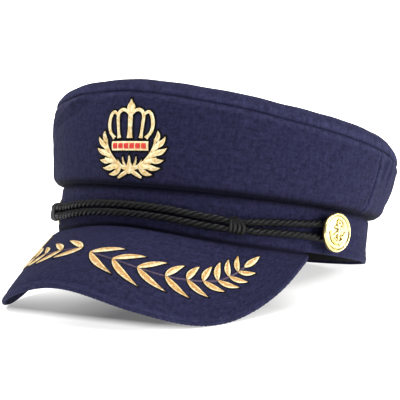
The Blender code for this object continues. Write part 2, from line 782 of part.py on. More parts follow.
def badge_place(x, y):
    """Maps a flat point of the badge onto the crown's front."""
    step = SLOPE_STEP
    per_degree = math.radians(1) * (BAND_LENGTH / 2 + CROWN_FOLD)

    def face(x, y):
        return side_panel_face((x + BADGE_SHIFT) / per_degree, y + BADGE_BOTTOM)
    point = face(x, y)
    across = face(x + step, y) - face(x - step, y)
    along = face(x, y + step) - face(x, y - step)
    return point, across.cross(along).normalized()


def badge_flat(point, side=1):
    return (side * point[0] * BADGE_WIDTH / 2, point[1] * BADGE_HEIGHT)


def badge_crown_flat(point, side=1):
    """A point of the badge's crown, which stands on the jewelled band."""
    foot = JEWEL_BAND["top"] + CROWN_CLEARANCE
    return badge_flat((point[0], foot + (1 - foot) * point[1]), side)


def badge_leaf(leaf, side=1):
    root = badge_flat(leaf["root"], side)
    tip = badge_flat(leaf["tip"], side)
    return leaf_outline(root, tip, leaf["width"] * BADGE_WIDTH)


def make_wreath(materials, pieces, cutters, rest):
    width = WREATH_STEM_WIDTH * BADGE_WIDTH
    outlines = [badge_leaf(WREATH_MIDDLE)]
    for side in (1, -1):
        stem = smooth_line([badge_flat(point, side) for point in WREATH_STEM], WREATH_STEM_STEPS)
        outlines.append(stroke_outline(stem, [width] * len(stem)))
        outlines += [badge_leaf(leaf, side) for leaf in WREATH_LEAVES]
    body = joined(outlines, GAP, GAP + THREAD_RELIEF, cutters)
    laid_on(body, "badge_wreath", badge_place, materials["gold_thread"], pieces, rest)


def make_badge_crown(materials, pieces, cutters, rest):
    width = CROWN_BAR_WIDTH * BADGE_WIDTH
    post_width = CROWN_POST_WIDTH * BADGE_WIDTH
    post = [badge_crown_flat(point) for point in CROWN_POST]
    outlines = [stroke_outline(post, [post_width * CROWN_POST_FOOT, post_width, post_width])]
    for line in CROWN_BARS:
        for side in (1, -1):
            line_points = [badge_crown_flat(point, side) for point in line]
            points = smooth_line(line_points, CROWN_BAR_STEPS)
            outlines.append(stroke_outline(points, [width] * len(points)))
    root = badge_crown_flat(CROWN_FINIAL["root"])
    tip = badge_crown_flat(CROWN_FINIAL["tip"])
    outlines.append(leaf_outline(root, tip, CROWN_FINIAL["width"] * BADGE_WIDTH))
    body = joined(outlines, GAP, GAP + THREAD_RELIEF, cutters)
    laid_on(body, "badge_crown", badge_place, materials["gold_thread"], pieces, rest)


def bar(left, right, bottom, top):
    return [(left, bottom), (right, bottom), (right, top), (left, top)]


def make_badge_band(materials, pieces, cutters, rest):
    """The jewelled band: a flat bar, and a row of plain square jewels above it."""
    left, bottom = badge_flat((JEWEL_BAND["left"], JEWEL_BAND["bottom"]))
    right, top = badge_flat((JEWEL_BAND["right"], JEWEL_BAND["top"]))
    low = GAP
    high = GAP + THREAD_RELIEF
    body = joined([bar(left, right, bottom, top)], low, high, cutters)
    laid_on(body, "badge_band", badge_place, materials["gold_thread"], pieces, rest)
    pitch = (right - left) / (JEWEL_COUNT + 2 * JEWEL_BAND_MARGIN)
    half = pitch * JEWEL_SHARE / 2
    inset = (top - bottom) * (1 - JEWEL_SHARE) / 2
    for i in range(JEWEL_COUNT):
        middle = (left + right) / 2 + pitch * (i - (JEWEL_COUNT - 1) / 2)
        outline = bar(middle - half, middle + half, bottom + inset, top - inset)
        body = joined([outline], high + GAP, high + GAP + JEWEL_RELIEF, cutters)
        laid_on(body, f"badge_jewel_{i + 1}", badge_place, materials["red_thread"], pieces, rest)


def button_mesh(cutters):
    """A turned button with a rim, a shank behind it and an anchor raised on its face."""
    radius = BUTTON_DIAMETER / 2
    shank = BUTTON_SHANK_DIAMETER / 2
    back = CORD_DIAMETER + GAP
    outline = [(row["out"] * radius, row["up"] * BUTTON_THICKNESS) for row in BUTTON_PROFILE]
    outline += [(shank, 0), (shank, -back), (0, -back)]
    mesh = bpy.data.meshes.new("button")
    mesh.from_pydata([(x, 0, z) for x, z in outline], [(i, i + 1) for i in range(len(outline) - 1)], [])
    body = bpy.data.objects.new("button_body", mesh)
    cutters.objects.link(body)
    turned = body.modifiers.new("turn", "SCREW")
    turned.steps = BUTTON_STEPS
    turned.render_steps = BUTTON_STEPS
    turned.use_merge_vertices = True
    turned.merge_threshold = SHORTEST_EDGE
    bpy.context.view_layer.update()
    graph = bpy.context.evaluated_depsgraph_get()
    body.data = bpy.data.meshes.new_from_object(body.evaluated_get(graph))
    body.modifiers.clear()
    low = BUTTON_THICKNESS * RELIEF_ROOT
    high = BUTTON_THICKNESS + RELIEF_HEIGHT
    for stroke in ANCHOR_STROKES:
        points = [(x * radius, y * radius) for x, y in stroke["points"]]
        outline = stroke_outline(points, [stroke["width"] * radius] * len(points))
        extra = bpy.data.objects.new("stroke", prism(outline, low, high))
        cutters.objects.link(extra)
        unite(body, extra)
    ring = bpy.data.objects.new("ring", anchor_ring(radius, high))
    cutters.objects.link(ring)
    unite(body, ring)
    mesh = body.data
    form = bmesh.new()
    form.from_mesh(mesh)
    simplify(form)
    form.to_mesh(mesh)
    form.free()
    smooth(mesh, 30)
    mesh.materials.clear()
    bpy.data.objects.remove(body, do_unlink=True)
    return mesh


def anchor_ring(radius, high):
    mesh = bpy.data.meshes.new("ring")
    form = bmesh.new()
    low = BUTTON_THICKNESS * RELIEF_ROOT
    x, y = (value * radius for value in ANCHOR_RING["centre"])
    size = ANCHOR_RING["radius"] * radius
    half = ANCHOR_RING["width"] * radius / 2
    inner = size - half
    outer = size + half
    sections = []
    for i in range(ANCHOR_RING_STEPS):
        angle = 2 * math.pi * i / ANCHOR_RING_STEPS
        section = []
        for reach, level in ((inner, low), (outer, low), (outer, high), (inner, high)):
            point = (x + reach * math.cos(angle), y + reach * math.sin(angle), level)
            section.append(form.verts.new(point))
        sections.append(section)
    for here, there in zip(sections, sections[1:] + sections[:1]):
        for i in range(4):
            j = (i + 1) % 4
            form.faces.new((here[i], here[j], there[j], there[i]))
    face_outward(form)
    form.to_mesh(mesh)
    form.free()
    return mesh


def make_buttons(materials, pieces, cutters, rest):
    for name, side in (("button_left", 1), ("button_right", -1)):
        turn = side * BUTTON_TURN
        normal = band_normal(turn)
        up = Vector((0, 0, 1))
        across = up.cross(normal)
        place = Matrix((across, up, normal)).transposed().to_4x4()
        place.translation = band_point(turn, 2 * GAP + CORD_DIAMETER, BUTTON_LEVEL)
        button = new_object(name, button_mesh(cutters), materials["gold_metal"], pieces, rest)
        button.matrix_local = place


def cap_points(things):
    """The corners of all the given objects' finished meshes."""
    graph = bpy.context.evaluated_depsgraph_get()
    points = []
    for thing in things:
        finished = thing.evaluated_get(graph)
        mesh = finished.to_mesh()
        points += [finished.matrix_world @ vertex.co for vertex in mesh.vertices]
        finished.to_mesh_clear()
    return np.array(points)


def lay_down(rest, pieces):
    """Tips the cap back until the peak and the back of the band are equally low, and centres it."""
    bpy.context.view_layer.update()
    front = cap_points([pieces.objects["peak"]])
    back = cap_points([pieces.objects["headband"]])

    def lowest(points, tilt):
        return (points[:, 1] * math.sin(tilt) + points[:, 2] * math.cos(tilt)).min()
    near = 0.0
    far = -math.radians(STEEPEST_REST)
    for _ in range(REST_HALVINGS):
        tilt = (near + far) / 2
        if lowest(front, tilt) < lowest(back, tilt):
            near = tilt
        else:
            far = tilt
    rest.rotation_euler.x = tilt
    bpy.context.view_layer.update()
    points = cap_points(pieces.objects)
    low = points.min(axis=0)
    high = points.max(axis=0)
    rest.location = (-(low[0] + high[0]) / 2, -(low[1] + high[1]) / 2, -low[2])
    bpy.context.view_layer.update()


def main():
    clear_scene()
    pieces = bpy.data.collections.new(NAME)
    cutters = bpy.data.collections.new("cutters")
    for collection in (pieces, cutters):
        bpy.context.scene.collection.children.link(collection)
    rest = bpy.data.objects.new("rest_pose", None)
    bpy.context.scene.collection.objects.link(rest)
    materials = {name: make_material(name) for name in MATERIALS}
    make_headband(materials, pieces, rest)
    make_sweatband(materials, pieces, rest)
    make_side_panels(materials, pieces, rest)
    make_top_panel(materials, pieces, rest)
    make_peak(materials, pieces, rest)
    make_cord(materials, pieces, rest)
    make_knot("knot_left", 1, materials, pieces, rest)
    make_knot("knot_right", -1, materials, pieces, rest)
    make_buttons(materials, pieces, cutters, rest)
    make_badge_crown(materials, pieces, cutters, rest)
    make_badge_band(materials, pieces, cutters, rest)
    make_wreath(materials, pieces, cutters, rest)
    make_branch("peak_branch_left", 1, materials, pieces, cutters, rest)
    make_branch("peak_branch_right", -1, materials, pieces, cutters, rest)
    lay_down(rest, pieces)


main()
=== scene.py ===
"""The looks of the sailor cap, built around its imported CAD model. Metres, +Z up.

Surfaces are worked out in the cap's own frame, as in the part: the band's bottom plane is z = 0, the
peak points along -Y, the wearer's left is +X, and a turn is an angle round the band from the front,
in degrees. They are then laid down by the pose that the head opening's mount gives.
"""

import json
import math

import bpy
import numpy as np
from mathutils import Matrix, Vector


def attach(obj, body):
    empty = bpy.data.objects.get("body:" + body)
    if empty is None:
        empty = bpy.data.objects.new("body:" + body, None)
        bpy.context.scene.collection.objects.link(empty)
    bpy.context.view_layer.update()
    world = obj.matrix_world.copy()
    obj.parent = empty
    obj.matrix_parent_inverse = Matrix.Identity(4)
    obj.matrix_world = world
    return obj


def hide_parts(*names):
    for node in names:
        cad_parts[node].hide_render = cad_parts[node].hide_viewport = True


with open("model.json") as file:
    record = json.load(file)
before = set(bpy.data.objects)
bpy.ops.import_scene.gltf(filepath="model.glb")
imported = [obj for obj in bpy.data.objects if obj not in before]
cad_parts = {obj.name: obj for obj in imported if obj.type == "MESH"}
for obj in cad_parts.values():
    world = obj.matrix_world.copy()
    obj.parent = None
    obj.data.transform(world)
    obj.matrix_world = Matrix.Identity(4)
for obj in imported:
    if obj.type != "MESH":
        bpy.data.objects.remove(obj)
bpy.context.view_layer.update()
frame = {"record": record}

# Sizes of the part, by the same names
CLOTH_WALL = 0.002
GAP = 0.0003
BAND_WIDTH = 0.185
BAND_LENGTH = 0.191
BAND_HEIGHT = 0.0275
FRONT_RISE = 0.005
FRONT_RISE_TURN = 28.0
SIDE_RISE = 0.0005
HEM_BULGE = 0.0012
SWEATBAND_WALL = 0.0012
SWEATBAND_DROP = 0.0015
CROWN_HEIGHT = 0.053
CROWN_OVERHANG = 0.0175
CROWN_FOLD = 0.005
CROWN_BELLY = 0.002
CROWN_RIM_RISE = 0.0115
CROWN_RIM_INSET = 0.011
CROWN_TOP_DOME = 0.0015
PANEL_SEAM_TURN = 96.0
PEAK_LENGTH = 0.068
PEAK_TURN = 69.0
PEAK_ARCH = 0.0035
PEAK_WALL = 0.003
PEAK_TONGUE = 0.0017
CORD_DIAMETER = 0.0049
KNOT_TURN = 39.0
KNOT_LENGTH = 0.010
KNOT_BACK_WALL = 0.0008
KNOT_EASE = 0.009
BUTTON_TURN = 78.0
BUTTON_LEVEL = 0.0142
BUTTON_DIAMETER = 0.023
BUTTON_THICKNESS = 0.0024
BUTTON_SHANK_DIAMETER = 0.004
BADGE_WIDTH = 0.047
BADGE_HEIGHT = 0.045
BADGE_BOTTOM = 0.0035
BADGE_SHIFT = 0.0025


def table(columns, *rows):
    """Rows of a table, each one read by the names of its columns."""
    return [dict(zip(columns.split(), row)) for row in rows]


CROWN_SECTIONS = table(
    "turn height overhang fold rim",
    (0, 1.000, 0.43, 0.70, 0.73),
    (30, 0.935, 0.46, 0.78, 0.78),
    (60, 0.830, 0.53, 0.92, 0.87),
    (90, 0.745, 0.64, 1.00, 0.96),
    (120, 0.650, 0.80, 1.00, 0.98),
    (150, 0.595, 0.94, 1.05, 1.00),
    (180, 0.575, 1.00, 1.05, 1.00),
)
SIDE_PROFILE = table(
    "height fold lean belly",
    (0.000, 0.00, 0.00, 0.0),
    (0.004, 0.55, 0.00, 0.0),
    (0.030, 0.92, 0.00, 0.0),
    (0.090, 1.04, 0.06, 0.2),
    (0.340, 1.00, 0.32, 0.9),
    (0.640, 1.00, 0.64, 0.9),
    (0.930, 1.00, 0.95, 0.3),
    (1.000, 1.00, 1.00, 0.0),
)
PEAK_SECTIONS = table(
    "reach length droop fan",
    (0.00, 1.000, 34.5, 0.0),
    (0.35, 0.993, 41.5, 7.0),
    (0.65, 0.800, 55.5, 11.5),
    (0.88, 0.375, 68.0, 12.5),
    (1.00, 0.060, 75.0, 12.0),
)
CORD_SECTIONS = table(
    "reach level spread",
    (0.00, 1.00, 0.00),
    (0.20, 0.94, 0.00),
    (0.38, 0.79, 0.00),
    (0.52, 0.74, 0.02),
    (0.70, 0.86, 0.20),
    (0.86, 0.95, 0.45),
    (1.00, 1.00, 1.00),
)
BRANCH_PAIRS = table(
    "turn out up down",
    (2.3, 0.54, (9.4, -0.13), (11.1, 0.20)),
    (10.6, 0.57, (8.2, -0.14), (11.1, 0.20)),
    (18.6, 0.58, (6.7, -0.15), (10.4, 0.14)),
    (26.9, 0.57, (3.4, -0.17), (8.5, 0.12)),
    (32.8, 0.53, (1.5, -0.17), (7.4, 0.09)),
    (37.1, 0.49, (0.6, -0.17), (7.0, 0.03)),
    (41.0, 0.44, (-1.6, -0.19), (6.9, 0.00)),
    (43.8, 0.37, (-2.3, -0.17), (6.2, 0.00)),
    (45.9, 0.30, (-2.0, -0.16), (5.7, -0.03)),
)
BRANCH_TIP = {"turn": 47.3, "out": 0.24, "up": (3.7, -0.14)}
BRANCH_STEM_WIDTH = 0.0010
BRANCH_LEAF_WIDTH = 0.0042
BRANCH_TAPER = 0.3
WREATH_LEAVES = table(
    "root tip width",
    ((0.28, 0.14), (0.64, 0.055), 0.075),
    ((0.42, 0.19), (0.84, 0.14), 0.080),
    ((0.54, 0.26), (0.93, 0.24), 0.080),
    ((0.62, 0.33), (1.00, 0.39), 0.080),
    ((0.68, 0.40), (0.95, 0.53), 0.075),
    ((0.70, 0.46), (0.75, 0.60), 0.065),
    ((0.08, 0.12), (0.35, 0.245), 0.036),
    ((0.04, 0.12), (0.19, 0.280), 0.034),
)
WREATH_STEM = ((-0.34, 0.015), (0.00, 0.11), (0.30, 0.165), (0.53, 0.27), (0.67, 0.40), (0.69, 0.50))
WREATH_STEM_WIDTH = 0.05
CROWN_CLEARANCE = 0.04
CROWN_BAR_WIDTH = 0.042
CROWN_POST_WIDTH = 0.062
CROWN_BARS = (
    ((0.02, 0.576), (0.12, 0.687), (0.26, 0.717), (0.375, 0.596), (0.36, 0.313), (0.32, 0.0)),
    ((0.375, 0.576), (0.50, 0.667), (0.60, 0.576), (0.645, 0.354), (0.60, 0.152), (0.47, 0.0)),
)
CROWN_POST = ((0.00, 0.0), (0.00, 0.293), (0.00, 0.677))
JEWEL_BAND = {"left": -0.52, "right": 0.52, "bottom": 0.350, "top": 0.465}
JEWEL_COUNT = 6
JEWEL_BAND_MARGIN = 0.2
ANCHOR_STROKES = table(
    "points width",
    (((0.00, 0.38), (0.00, -0.50)), 0.13),
    (((-0.24, 0.26), (0.24, 0.26)), 0.11),
    (((-0.44, -0.18), (-0.34, -0.38), (0.00, -0.52), (0.34, -0.38), (0.44, -0.18)), 0.12),
)
ANCHOR_RING = {"centre": (0.0, 0.46), "radius": 0.11, "width": 0.07}

# From here on: what the dressed part adds to those sizes, or draws a little differently

# Hills and furrows of the cloth: how tall, how far from a seam or an edge, and how wide
TOP_SEAM_TUCK = ((-0.0006, 0, 0.0010), (0.0003, 0.0032, 0.0016))
CREASE_TUCK = ((-0.0012, 0, 0.0012), (0.0006, 0.0045, 0.0030))
UPRIGHT_SEAM_TUCK = ((-0.0013, 0, 0.0011), (0.00035, 0.0032, 0.0018))
HEM_SEAM = ((-0.0003, 0.0045, 0.0006),)
PEAK_SEAM_TUCK = ((-0.0006, 0, 0.0014),)
BAND_TOP_TUCK = ((-0.0010, 0, 0.0014),)
PEAK_EDGE_SEAM = ((-0.0004, 0.0035, 0.0009),)
PEAK_ROOT_TUCK = ((-0.0005, 0, 0.0016), (0.0004, 0.0045, 0.0022))

# Where painted shade darkens the cloth in creases and seams, in the same way
CREASE_PAINTED_SHADE = ((1.3, 0, 0.0023),)
UPRIGHT_SEAM_PAINTED_SHADE = ((0.8, 0, 0.0008),)
TOP_SEAM_PAINTED_SHADE = ((0.5, 0, 0.0007),)
BAND_TOP_PAINTED_SHADE = ((1.1, 0, 0.0024),)
BAND_FOOT_PAINTED_SHADE = 0.0013

# Soft unevenness of the cloth: how strong, the seed of its chance, and how many waves go round
WAVES = {
    "side": (0.00055, 3, (3, 5, 8, 12)),
    "side_top": (0.00030, 8, (21, 29, 38)),
    "side_foot": (0.00030, 9, (17, 26, 33)),
    "side_pucker": (0.00016, 5, (61, 83, 97)),
    "rim": (0.00040, 13, (9, 14, 23)),
    "rim_pucker": (0.00022, 15, (57, 79, 96)),
    "top_middle": (0.0011, 21, (2, 3, 5)),
    "top_edge": (0.0005, 25, (11, 17, 26)),
    "peak": (0.00022, 31, (7, 11, 17, 25)),
    "band": (0.00028, 41, (4, 7, 13, 19)),
    "hem": (0.00025, 42, (9, 16, 24)),
    "sweatband": (0.00020, 51, (6, 11, 17)),
}

# Slanting folds, at a turn and a height above the crease or in from the top seam
SIDE_FOLDS = table(
    "turn height tall width depth slant",
    (-32, 0.042, 0.012, 0.0075, -0.0014, 2.6),
    (-22, 0.049, 0.006, 0.0055, -0.0008, 2.2),
    (-53, 0.035, 0.007, 0.0040, -0.0007, 1.6),
    (-52, 0.012, 0.010, 0.0045, 0.0008, 0.5),
    (36, 0.043, 0.010, 0.0035, 0.0006, 1.1),
    (71, 0.030, 0.014, 0.0040, 0.0005, 0.7),
    (52, 0.010, 0.010, 0.0035, 0.0004, 1.0),
    (-75, 0.018, 0.016, 0.0045, 0.0006, 0.6),
    (101, 0.031, 0.009, 0.0022, 0.0009, 0.3),
    (107, 0.027, 0.009, 0.0024, 0.0008, 0.2),
    (118, 0.020, 0.014, 0.0045, 0.0006, -0.7),
    (-128, 0.018, 0.014, 0.0045, 0.0006, 0.8),
    (163, 0.016, 0.012, 0.0050, 0.0006, 0.5),
)
RIM_FOLDS = table(
    "turn height tall width depth slant",
    (63, 0.006, 0.006, 0.0050, 0.0004, 0.8),
    (128, 0.014, 0.012, 0.0060, 0.0006, -1.0),
)
FOLD_RIDGES = {"side": (0.7, 1.6), "rim": (0.8, 1.7)}

# What the cloth's stitched and rolled edges add
RIM_ROLL = (0.0004, 28, 16)
RIM_SEAM_TUCK = ((-0.0006, 0, 0.0010),)
SEAM_STITCH = {"deep": 0.00012, "pitch": 0.0032, "reach": 0.0035}
PEAK_STITCH = {"deep": 0.00016, "pitch": 0.0027}
BAND_OVER_PEAK = 0.0011
BAND_INTO_CROWN = 0.0003

# How finely the cloth is drawn: steps in degrees, and counts of points round, out and across
PANEL_STEP = {"step": 0.62, "fine_step": 0.14, "fine_reach": 2.4}
TOP_TURNS = 400
TOP_RIM_ROWS = 17
TOP_FLAT_ROWS = 30
BAND_TURNS = 480
SWEATBAND_TURNS = 320
PEAK_COLUMNS = 271
PEAK_UNDER_ROWS = 16
PEAK_UPPER_ROWS = 45

# Where the side panel has its rows, as shares of its height: from, to and how many
SIDE_ROWS = ((0, 0.1, 11, False), (0.1, 0.9, 26, False), (0.9, 1, 10))

# Cord and knots: degrees the knots are moved out, the rope's strands and its lay, and each knot's wraps
KNOT_SLIP = 1.3
CORD_STRANDS = 3
CORD_STRETCHED = 0.93
CORD_LAY = 0.0123
STRAND_HELIX = 0.00122
STRAND_RADIUS = 0.00108
STRAND_PLIES = 5
KNOT_WRAPS = table(
    "low high bow over",
    (-0.0036, -0.0036, 0.0000, 0.0000),
    (-0.0014, -0.0030, 0.0005, 0.0001),
    (0.0008, -0.0023, 0.0012, 0.0002),
    (0.0030, -0.0015, 0.0019, 0.0003),
)
WRAP_HALF_WIDTH = 0.00112
WRAP_HALF_THICKNESS = 0.00072
KNOT_BACK = 0.00075
WRAP_TURNS = 132
STRAND_SIDES = 20

# Buttons: the front's and the back's lines as shares of the radius and the thickness, and the relief
BUTTON_PROFILE = table(
    "radius height",
    (0.0, 0.80), (0.45, 0.74), (0.76, 0.52), (0.82, 0.60), (0.90, 0.96), (0.96, 0.84), (1.0, 0.45),
)
BUTTON_BACK = ((0.985, 0.10), (0.93, 0.0), (0.35, 0.0), (0.18, -0.05), (0.174, -2.1), (0.12, -2.12))
BUTTON_ANGLES = 224
RELIEF = 0.0011
CABLE_RELIEF = 0.0007
ANCHOR_FLUKE = ((0.52, -0.04), (0.43, -0.24), (0.26, -0.20))

# Embroidery: its threads, the dark margin round it, and the badge as it was sewn on
THREAD_PITCH = 0.00045
THREAD_STEP = 0.00011
EDGING_MARGIN = 0.00120
LEAF_MARGIN = 0.00065
EDGING_HEIGHT = 0.00040
BADGE_TILT = 2.5
BADGE_SIDE_STEP = 0.0018
BADGE_DRAWN_IN = 0.965
BADGE_CROWN_DRAWN_IN = 0.96
STITCH_SINK = 0.0002
LEAF_STEPS = 25
WREATH_INNER_LEAVES = table(
    "root tip width",
    ((0.30, 0.17), (0.62, 0.165), 0.065),
    ((0.44, 0.22), (0.74, 0.27), 0.068),
    ((0.55, 0.29), (0.82, 0.37), 0.068),
    ((0.63, 0.36), (0.80, 0.48), 0.062),
)
WREATH_SPIKES = table(
    "root tip width height",
    ((0.00, 0.06), (0.00, 0.235), 0.085, 0.0018),
    ((0.00, 0.15), (0.00, 0.295), 0.036, 0.0014),
)
CROWN_FINIALS = table(
    "root tip width height stalk sharpness",
    ((0.00, 0.640), (0.00, 0.95), 0.118, 0.0013, 0.2, 0.95),
    ((0.00, 0.850), (0.00, 1.00), 0.042, 0.0012, 0.6, 0.85),
)
WREATH_STEM_TAPER = ((0, 0.08, 0.6, 1), (0.5, 1.0, 0.9, 0.4))
CROWN_BAR_TAPER = ((0, 0.15, 0.55, 0.92, 1), (0.55, 0.85, 1.05, 0.85, 1.25))
CROWN_POST_TAPER = ((0, 0.12, 0.4, 0.8, 1), (1.3, 1.05, 0.85, 1.0, 0.6))

# How each branch was sewn on: its turns, how far out it sits, and how far its lower leaves reach
BRANCH_SEWN = {
    1: {"turns": 1.0, "out": 0.0, "lower": 1.0},
    -1: {"turns": 0.93, "out": -0.050, "lower": 0.72},
}
LEAF_HEIGHT = 0.0010


def table_curve(rows, place, column, x, flat_start=True, flat_end=True):
    """A smooth curve through one column of a table, read at an array of places."""
    xs = np.array([row[place] for row in rows], float)
    ys = np.array([row[column] for row in rows], float)
    steps = np.diff(ys) / np.diff(xs)
    slopes = np.zeros(len(xs))
    slopes[1:-1] = (steps[:-1] + steps[1:]) / 2
    slopes[0] = 0.0 if flat_start else steps[0]
    slopes[-1] = 0.0 if flat_end else steps[-1]
    x = np.clip(x, xs[0], xs[-1])
    i = np.clip(np.searchsorted(xs, x, side="right") - 1, 0, len(steps) - 1)
    span = xs[i + 1] - xs[i]
    s = (x - xs[i]) / span
    value = ys[i] * (1 + 2 * s) * (1 - s) ** 2 + ys[i + 1] * (3 - 2 * s) * s ** 2
    return value + span * (slopes[i] * s * (1 - s) ** 2 - slopes[i + 1] * s ** 2 * (1 - s))


def smooth_line(points, count):
    """Points at even steps on a smooth curve through a few given ones, as an array of pairs."""
    rows = [{"at": i, "x": point[0], "y": point[1]} for i, point in enumerate(points)]
    at = np.linspace(0, len(points) - 1, count)
    return np.stack([table_curve(rows, "at", axis, at, False, False) for axis in "xy"], -1)


def unit(vectors):
    return vectors / np.maximum(np.linalg.norm(vectors, axis=-1, keepdims=True), 1e-12)


def bump(distance, width):
    """A soft hill, 1 at no distance and nearly 0 at twice its width."""
    return np.exp(-(distance / width) ** 2)


def circle(count):
    return np.linspace(0, 2 * math.pi, count, endpoint=False)


def with_hills(out, distance, hills, share=1.0):
    """A height with a few soft hills and furrows added."""
    for tall, place, width in hills:
        out = out + tall * share * bump(distance - place, width)
    return out


def soft_waves(name, turn, height=0.0):
    """A soft unevenness round the cap: waves of a few lengths, added up."""
    strength, seed, counts = WAVES[name]
    chance = np.random.default_rng(seed)
    total = 0.0
    for count in counts:
        phase = chance.uniform(0, 2 * math.pi)
        drift = chance.uniform(-90, 90)
        size = chance.uniform(0.6, 1.4)
        total = total + size * np.sin(np.radians(turn) * count + drift * height + phase)
    return strength * total / len(counts)


# The cap's own frame, and how it lies at rest
MOUNT = frame["record"]["mounts"][0]
REST_ORIGIN = np.array(MOUNT["pos_m"], float)
REST_UP = unit(-np.array(MOUNT["axis"], float))
RIGHT, UP = np.eye(3)[[0, 2]]
REST_AXES = np.stack([RIGHT, np.cross(REST_UP, RIGHT), REST_UP])


def laid_down(points):
    """Points of the cap's own frame, as they lie at rest in the world."""
    return REST_ORIGIN + points @ REST_AXES


def folded_turn(turn):
    return np.abs((turn + 180.0) % 360.0 - 180.0)


def band_frame(turn):
    """The band's outer line and its outward normal."""
    angle = np.radians(turn)
    half_width = BAND_WIDTH / 2
    half_length = BAND_LENGTH / 2
    reach = 1 / np.hypot(np.sin(angle) / half_width, np.cos(angle) / half_length)
    x = reach * np.sin(angle)
    y = -reach * np.cos(angle)
    normal = unit(np.stack([x / half_width ** 2, y / half_length ** 2, 0 * x], -1))
    return np.stack([x, y, 0 * x], -1), normal


def band_point(turn, out, height):
    turn, out, height = np.broadcast_arrays(turn, out, height)
    point, normal = band_frame(turn)
    point = point + normal * out[..., None]
    point[..., 2] += height
    return point


def band_bottom(turn):
    front = FRONT_RISE * np.exp(-(folded_turn(turn) / FRONT_RISE_TURN) ** 2)
    return front + SIDE_RISE * 0.5 * (1 - np.cos(2 * np.radians(turn)))


def crown_value(turn, column):
    return table_curve(CROWN_SECTIONS, "turn", column, folded_turn(turn))


def side_panel_height(turn):
    return CROWN_HEIGHT * crown_value(turn, "height")


def per_degree():
    return math.radians(1) * (BAND_WIDTH + BAND_LENGTH) / 4


def with_fold(out, fold, kind, turn, height):
    """A height with one slanting fold in it: a furrow, and a lower ridge beside it."""
    ridge, step = FOLD_RIDGES[kind]
    around = (turn - fold["turn"] + 180) % 360 - 180
    above = height - fold["height"]
    along = np.exp(-(above / fold["tall"]) ** 2)
    offset = around * per_degree() - fold["slant"] * above
    out = out - fold["depth"] * bump(offset, fold["width"]) * along
    return out + ridge * fold["depth"] * bump(offset - step * fold["width"], fold["width"]) * along


def badge_calm(turn, height):
    """1 under the badge, whose stiff backing keeps the cloth even, and 0 away from it."""
    x = turn * per_degree() - BADGE_SHIFT
    y = height - BADGE_BOTTOM - BADGE_HEIGHT / 2
    return np.exp(-(x / (0.8 * BADGE_WIDTH)) ** 4 - (y / (0.8 * BADGE_HEIGHT)) ** 4)


def side_relief(turn, height, left):
    """How far the side panel's folds and waves stand out, at a height and what is left above it."""
    loose = 1 - 0.75 * badge_calm(turn, height)
    out = loose * soft_waves("side", turn, height) * (1 - bump(height, 0.002))
    out = out + loose * soft_waves("side_top", turn, height) * np.exp(-left / 0.011)
    out = out + loose * soft_waves("side_foot", turn, height) * bump(height - 0.006, 0.007)
    out = out + soft_waves("side_pucker", turn, height) * np.exp(-left / 0.004)
    for fold in SIDE_FOLDS:
        out = with_fold(out, fold, "side", turn, height)
    return out


def side_panel_face(turn, height):
    """A point of the side panel's outer face at a height above the crease, with its soft folds."""
    tall = side_panel_height(turn)
    share = (height - GAP) / (tall - 2 * GAP)
    fold = CROWN_FOLD * crown_value(turn, "fold")
    top = CROWN_OVERHANG * crown_value(turn, "overhang")
    folded, lean, belly = (table_curve(SIDE_PROFILE, "height", column, share, False, False)
                           for column in ("fold", "lean", "belly"))
    out = fold * folded + (top - fold) * lean + CROWN_BELLY * belly
    left = np.maximum(tall - height, 0)
    out = with_hills(out + side_relief(turn, height, left), left, TOP_SEAM_TUCK)
    return band_point(turn, with_hills(out, height, CREASE_TUCK), BAND_HEIGHT + height)


def top_panel_grid(turn, degrees, flat):
    """The top panel's outer face: up over its rim by degrees, then inward by a share of the flat."""
    angle = np.radians(degrees)
    top = side_panel_height(turn)
    out = CROWN_OVERHANG * crown_value(turn, "overhang") - CROWN_RIM_INSET * (1 - np.cos(angle))
    rise = CROWN_RIM_RISE * crown_value(turn, "rim") * np.sin(angle)
    out = with_hills(with_hills(out, degrees, [RIM_ROLL]), angle * CROWN_RIM_INSET, RIM_SEAM_TUCK)
    pucker = soft_waves("rim_pucker", turn) * np.exp(-angle * 2.2)
    swell = soft_waves("rim", turn) * np.exp(-angle * 0.9)
    out = out + side_relief(turn, top, 0.0) * np.exp(-angle * 1.4)
    out = out + (1 - np.exp(-angle * 3)) * (pucker + swell)
    edge = band_point(turn, out, BAND_HEIGHT + top + rise)
    around = np.arange(0, 360, 2.0)
    ring = band_point(around, CROWN_OVERHANG * crown_value(around, "overhang") - CROWN_RIM_INSET,
                      BAND_HEIGHT + side_panel_height(around) + CROWN_RIM_RISE * crown_value(around, "rim"))
    middle = ring.reshape(-1, 3).mean(axis=0) + np.array((0, 0, CROWN_TOP_DOME))
    share = flat[..., None]
    point = edge * (1 - share) + middle * share
    rim_place = angle * CROWN_RIM_INSET + flat * BAND_WIDTH / 2
    for fold in RIM_FOLDS:
        point[..., 2] = with_fold(point[..., 2], fold, "rim", turn, rim_place)
    point[..., 2] += CROWN_TOP_DOME * flat * (1 - flat)
    point[..., 2] += np.sin(math.pi * np.clip(flat, 0, 1)) * soft_waves("top_middle", turn, flat * 0.03)
    point[..., 2] += bump(flat - 0.03, 0.05) * soft_waves("top_edge", turn)
    return point


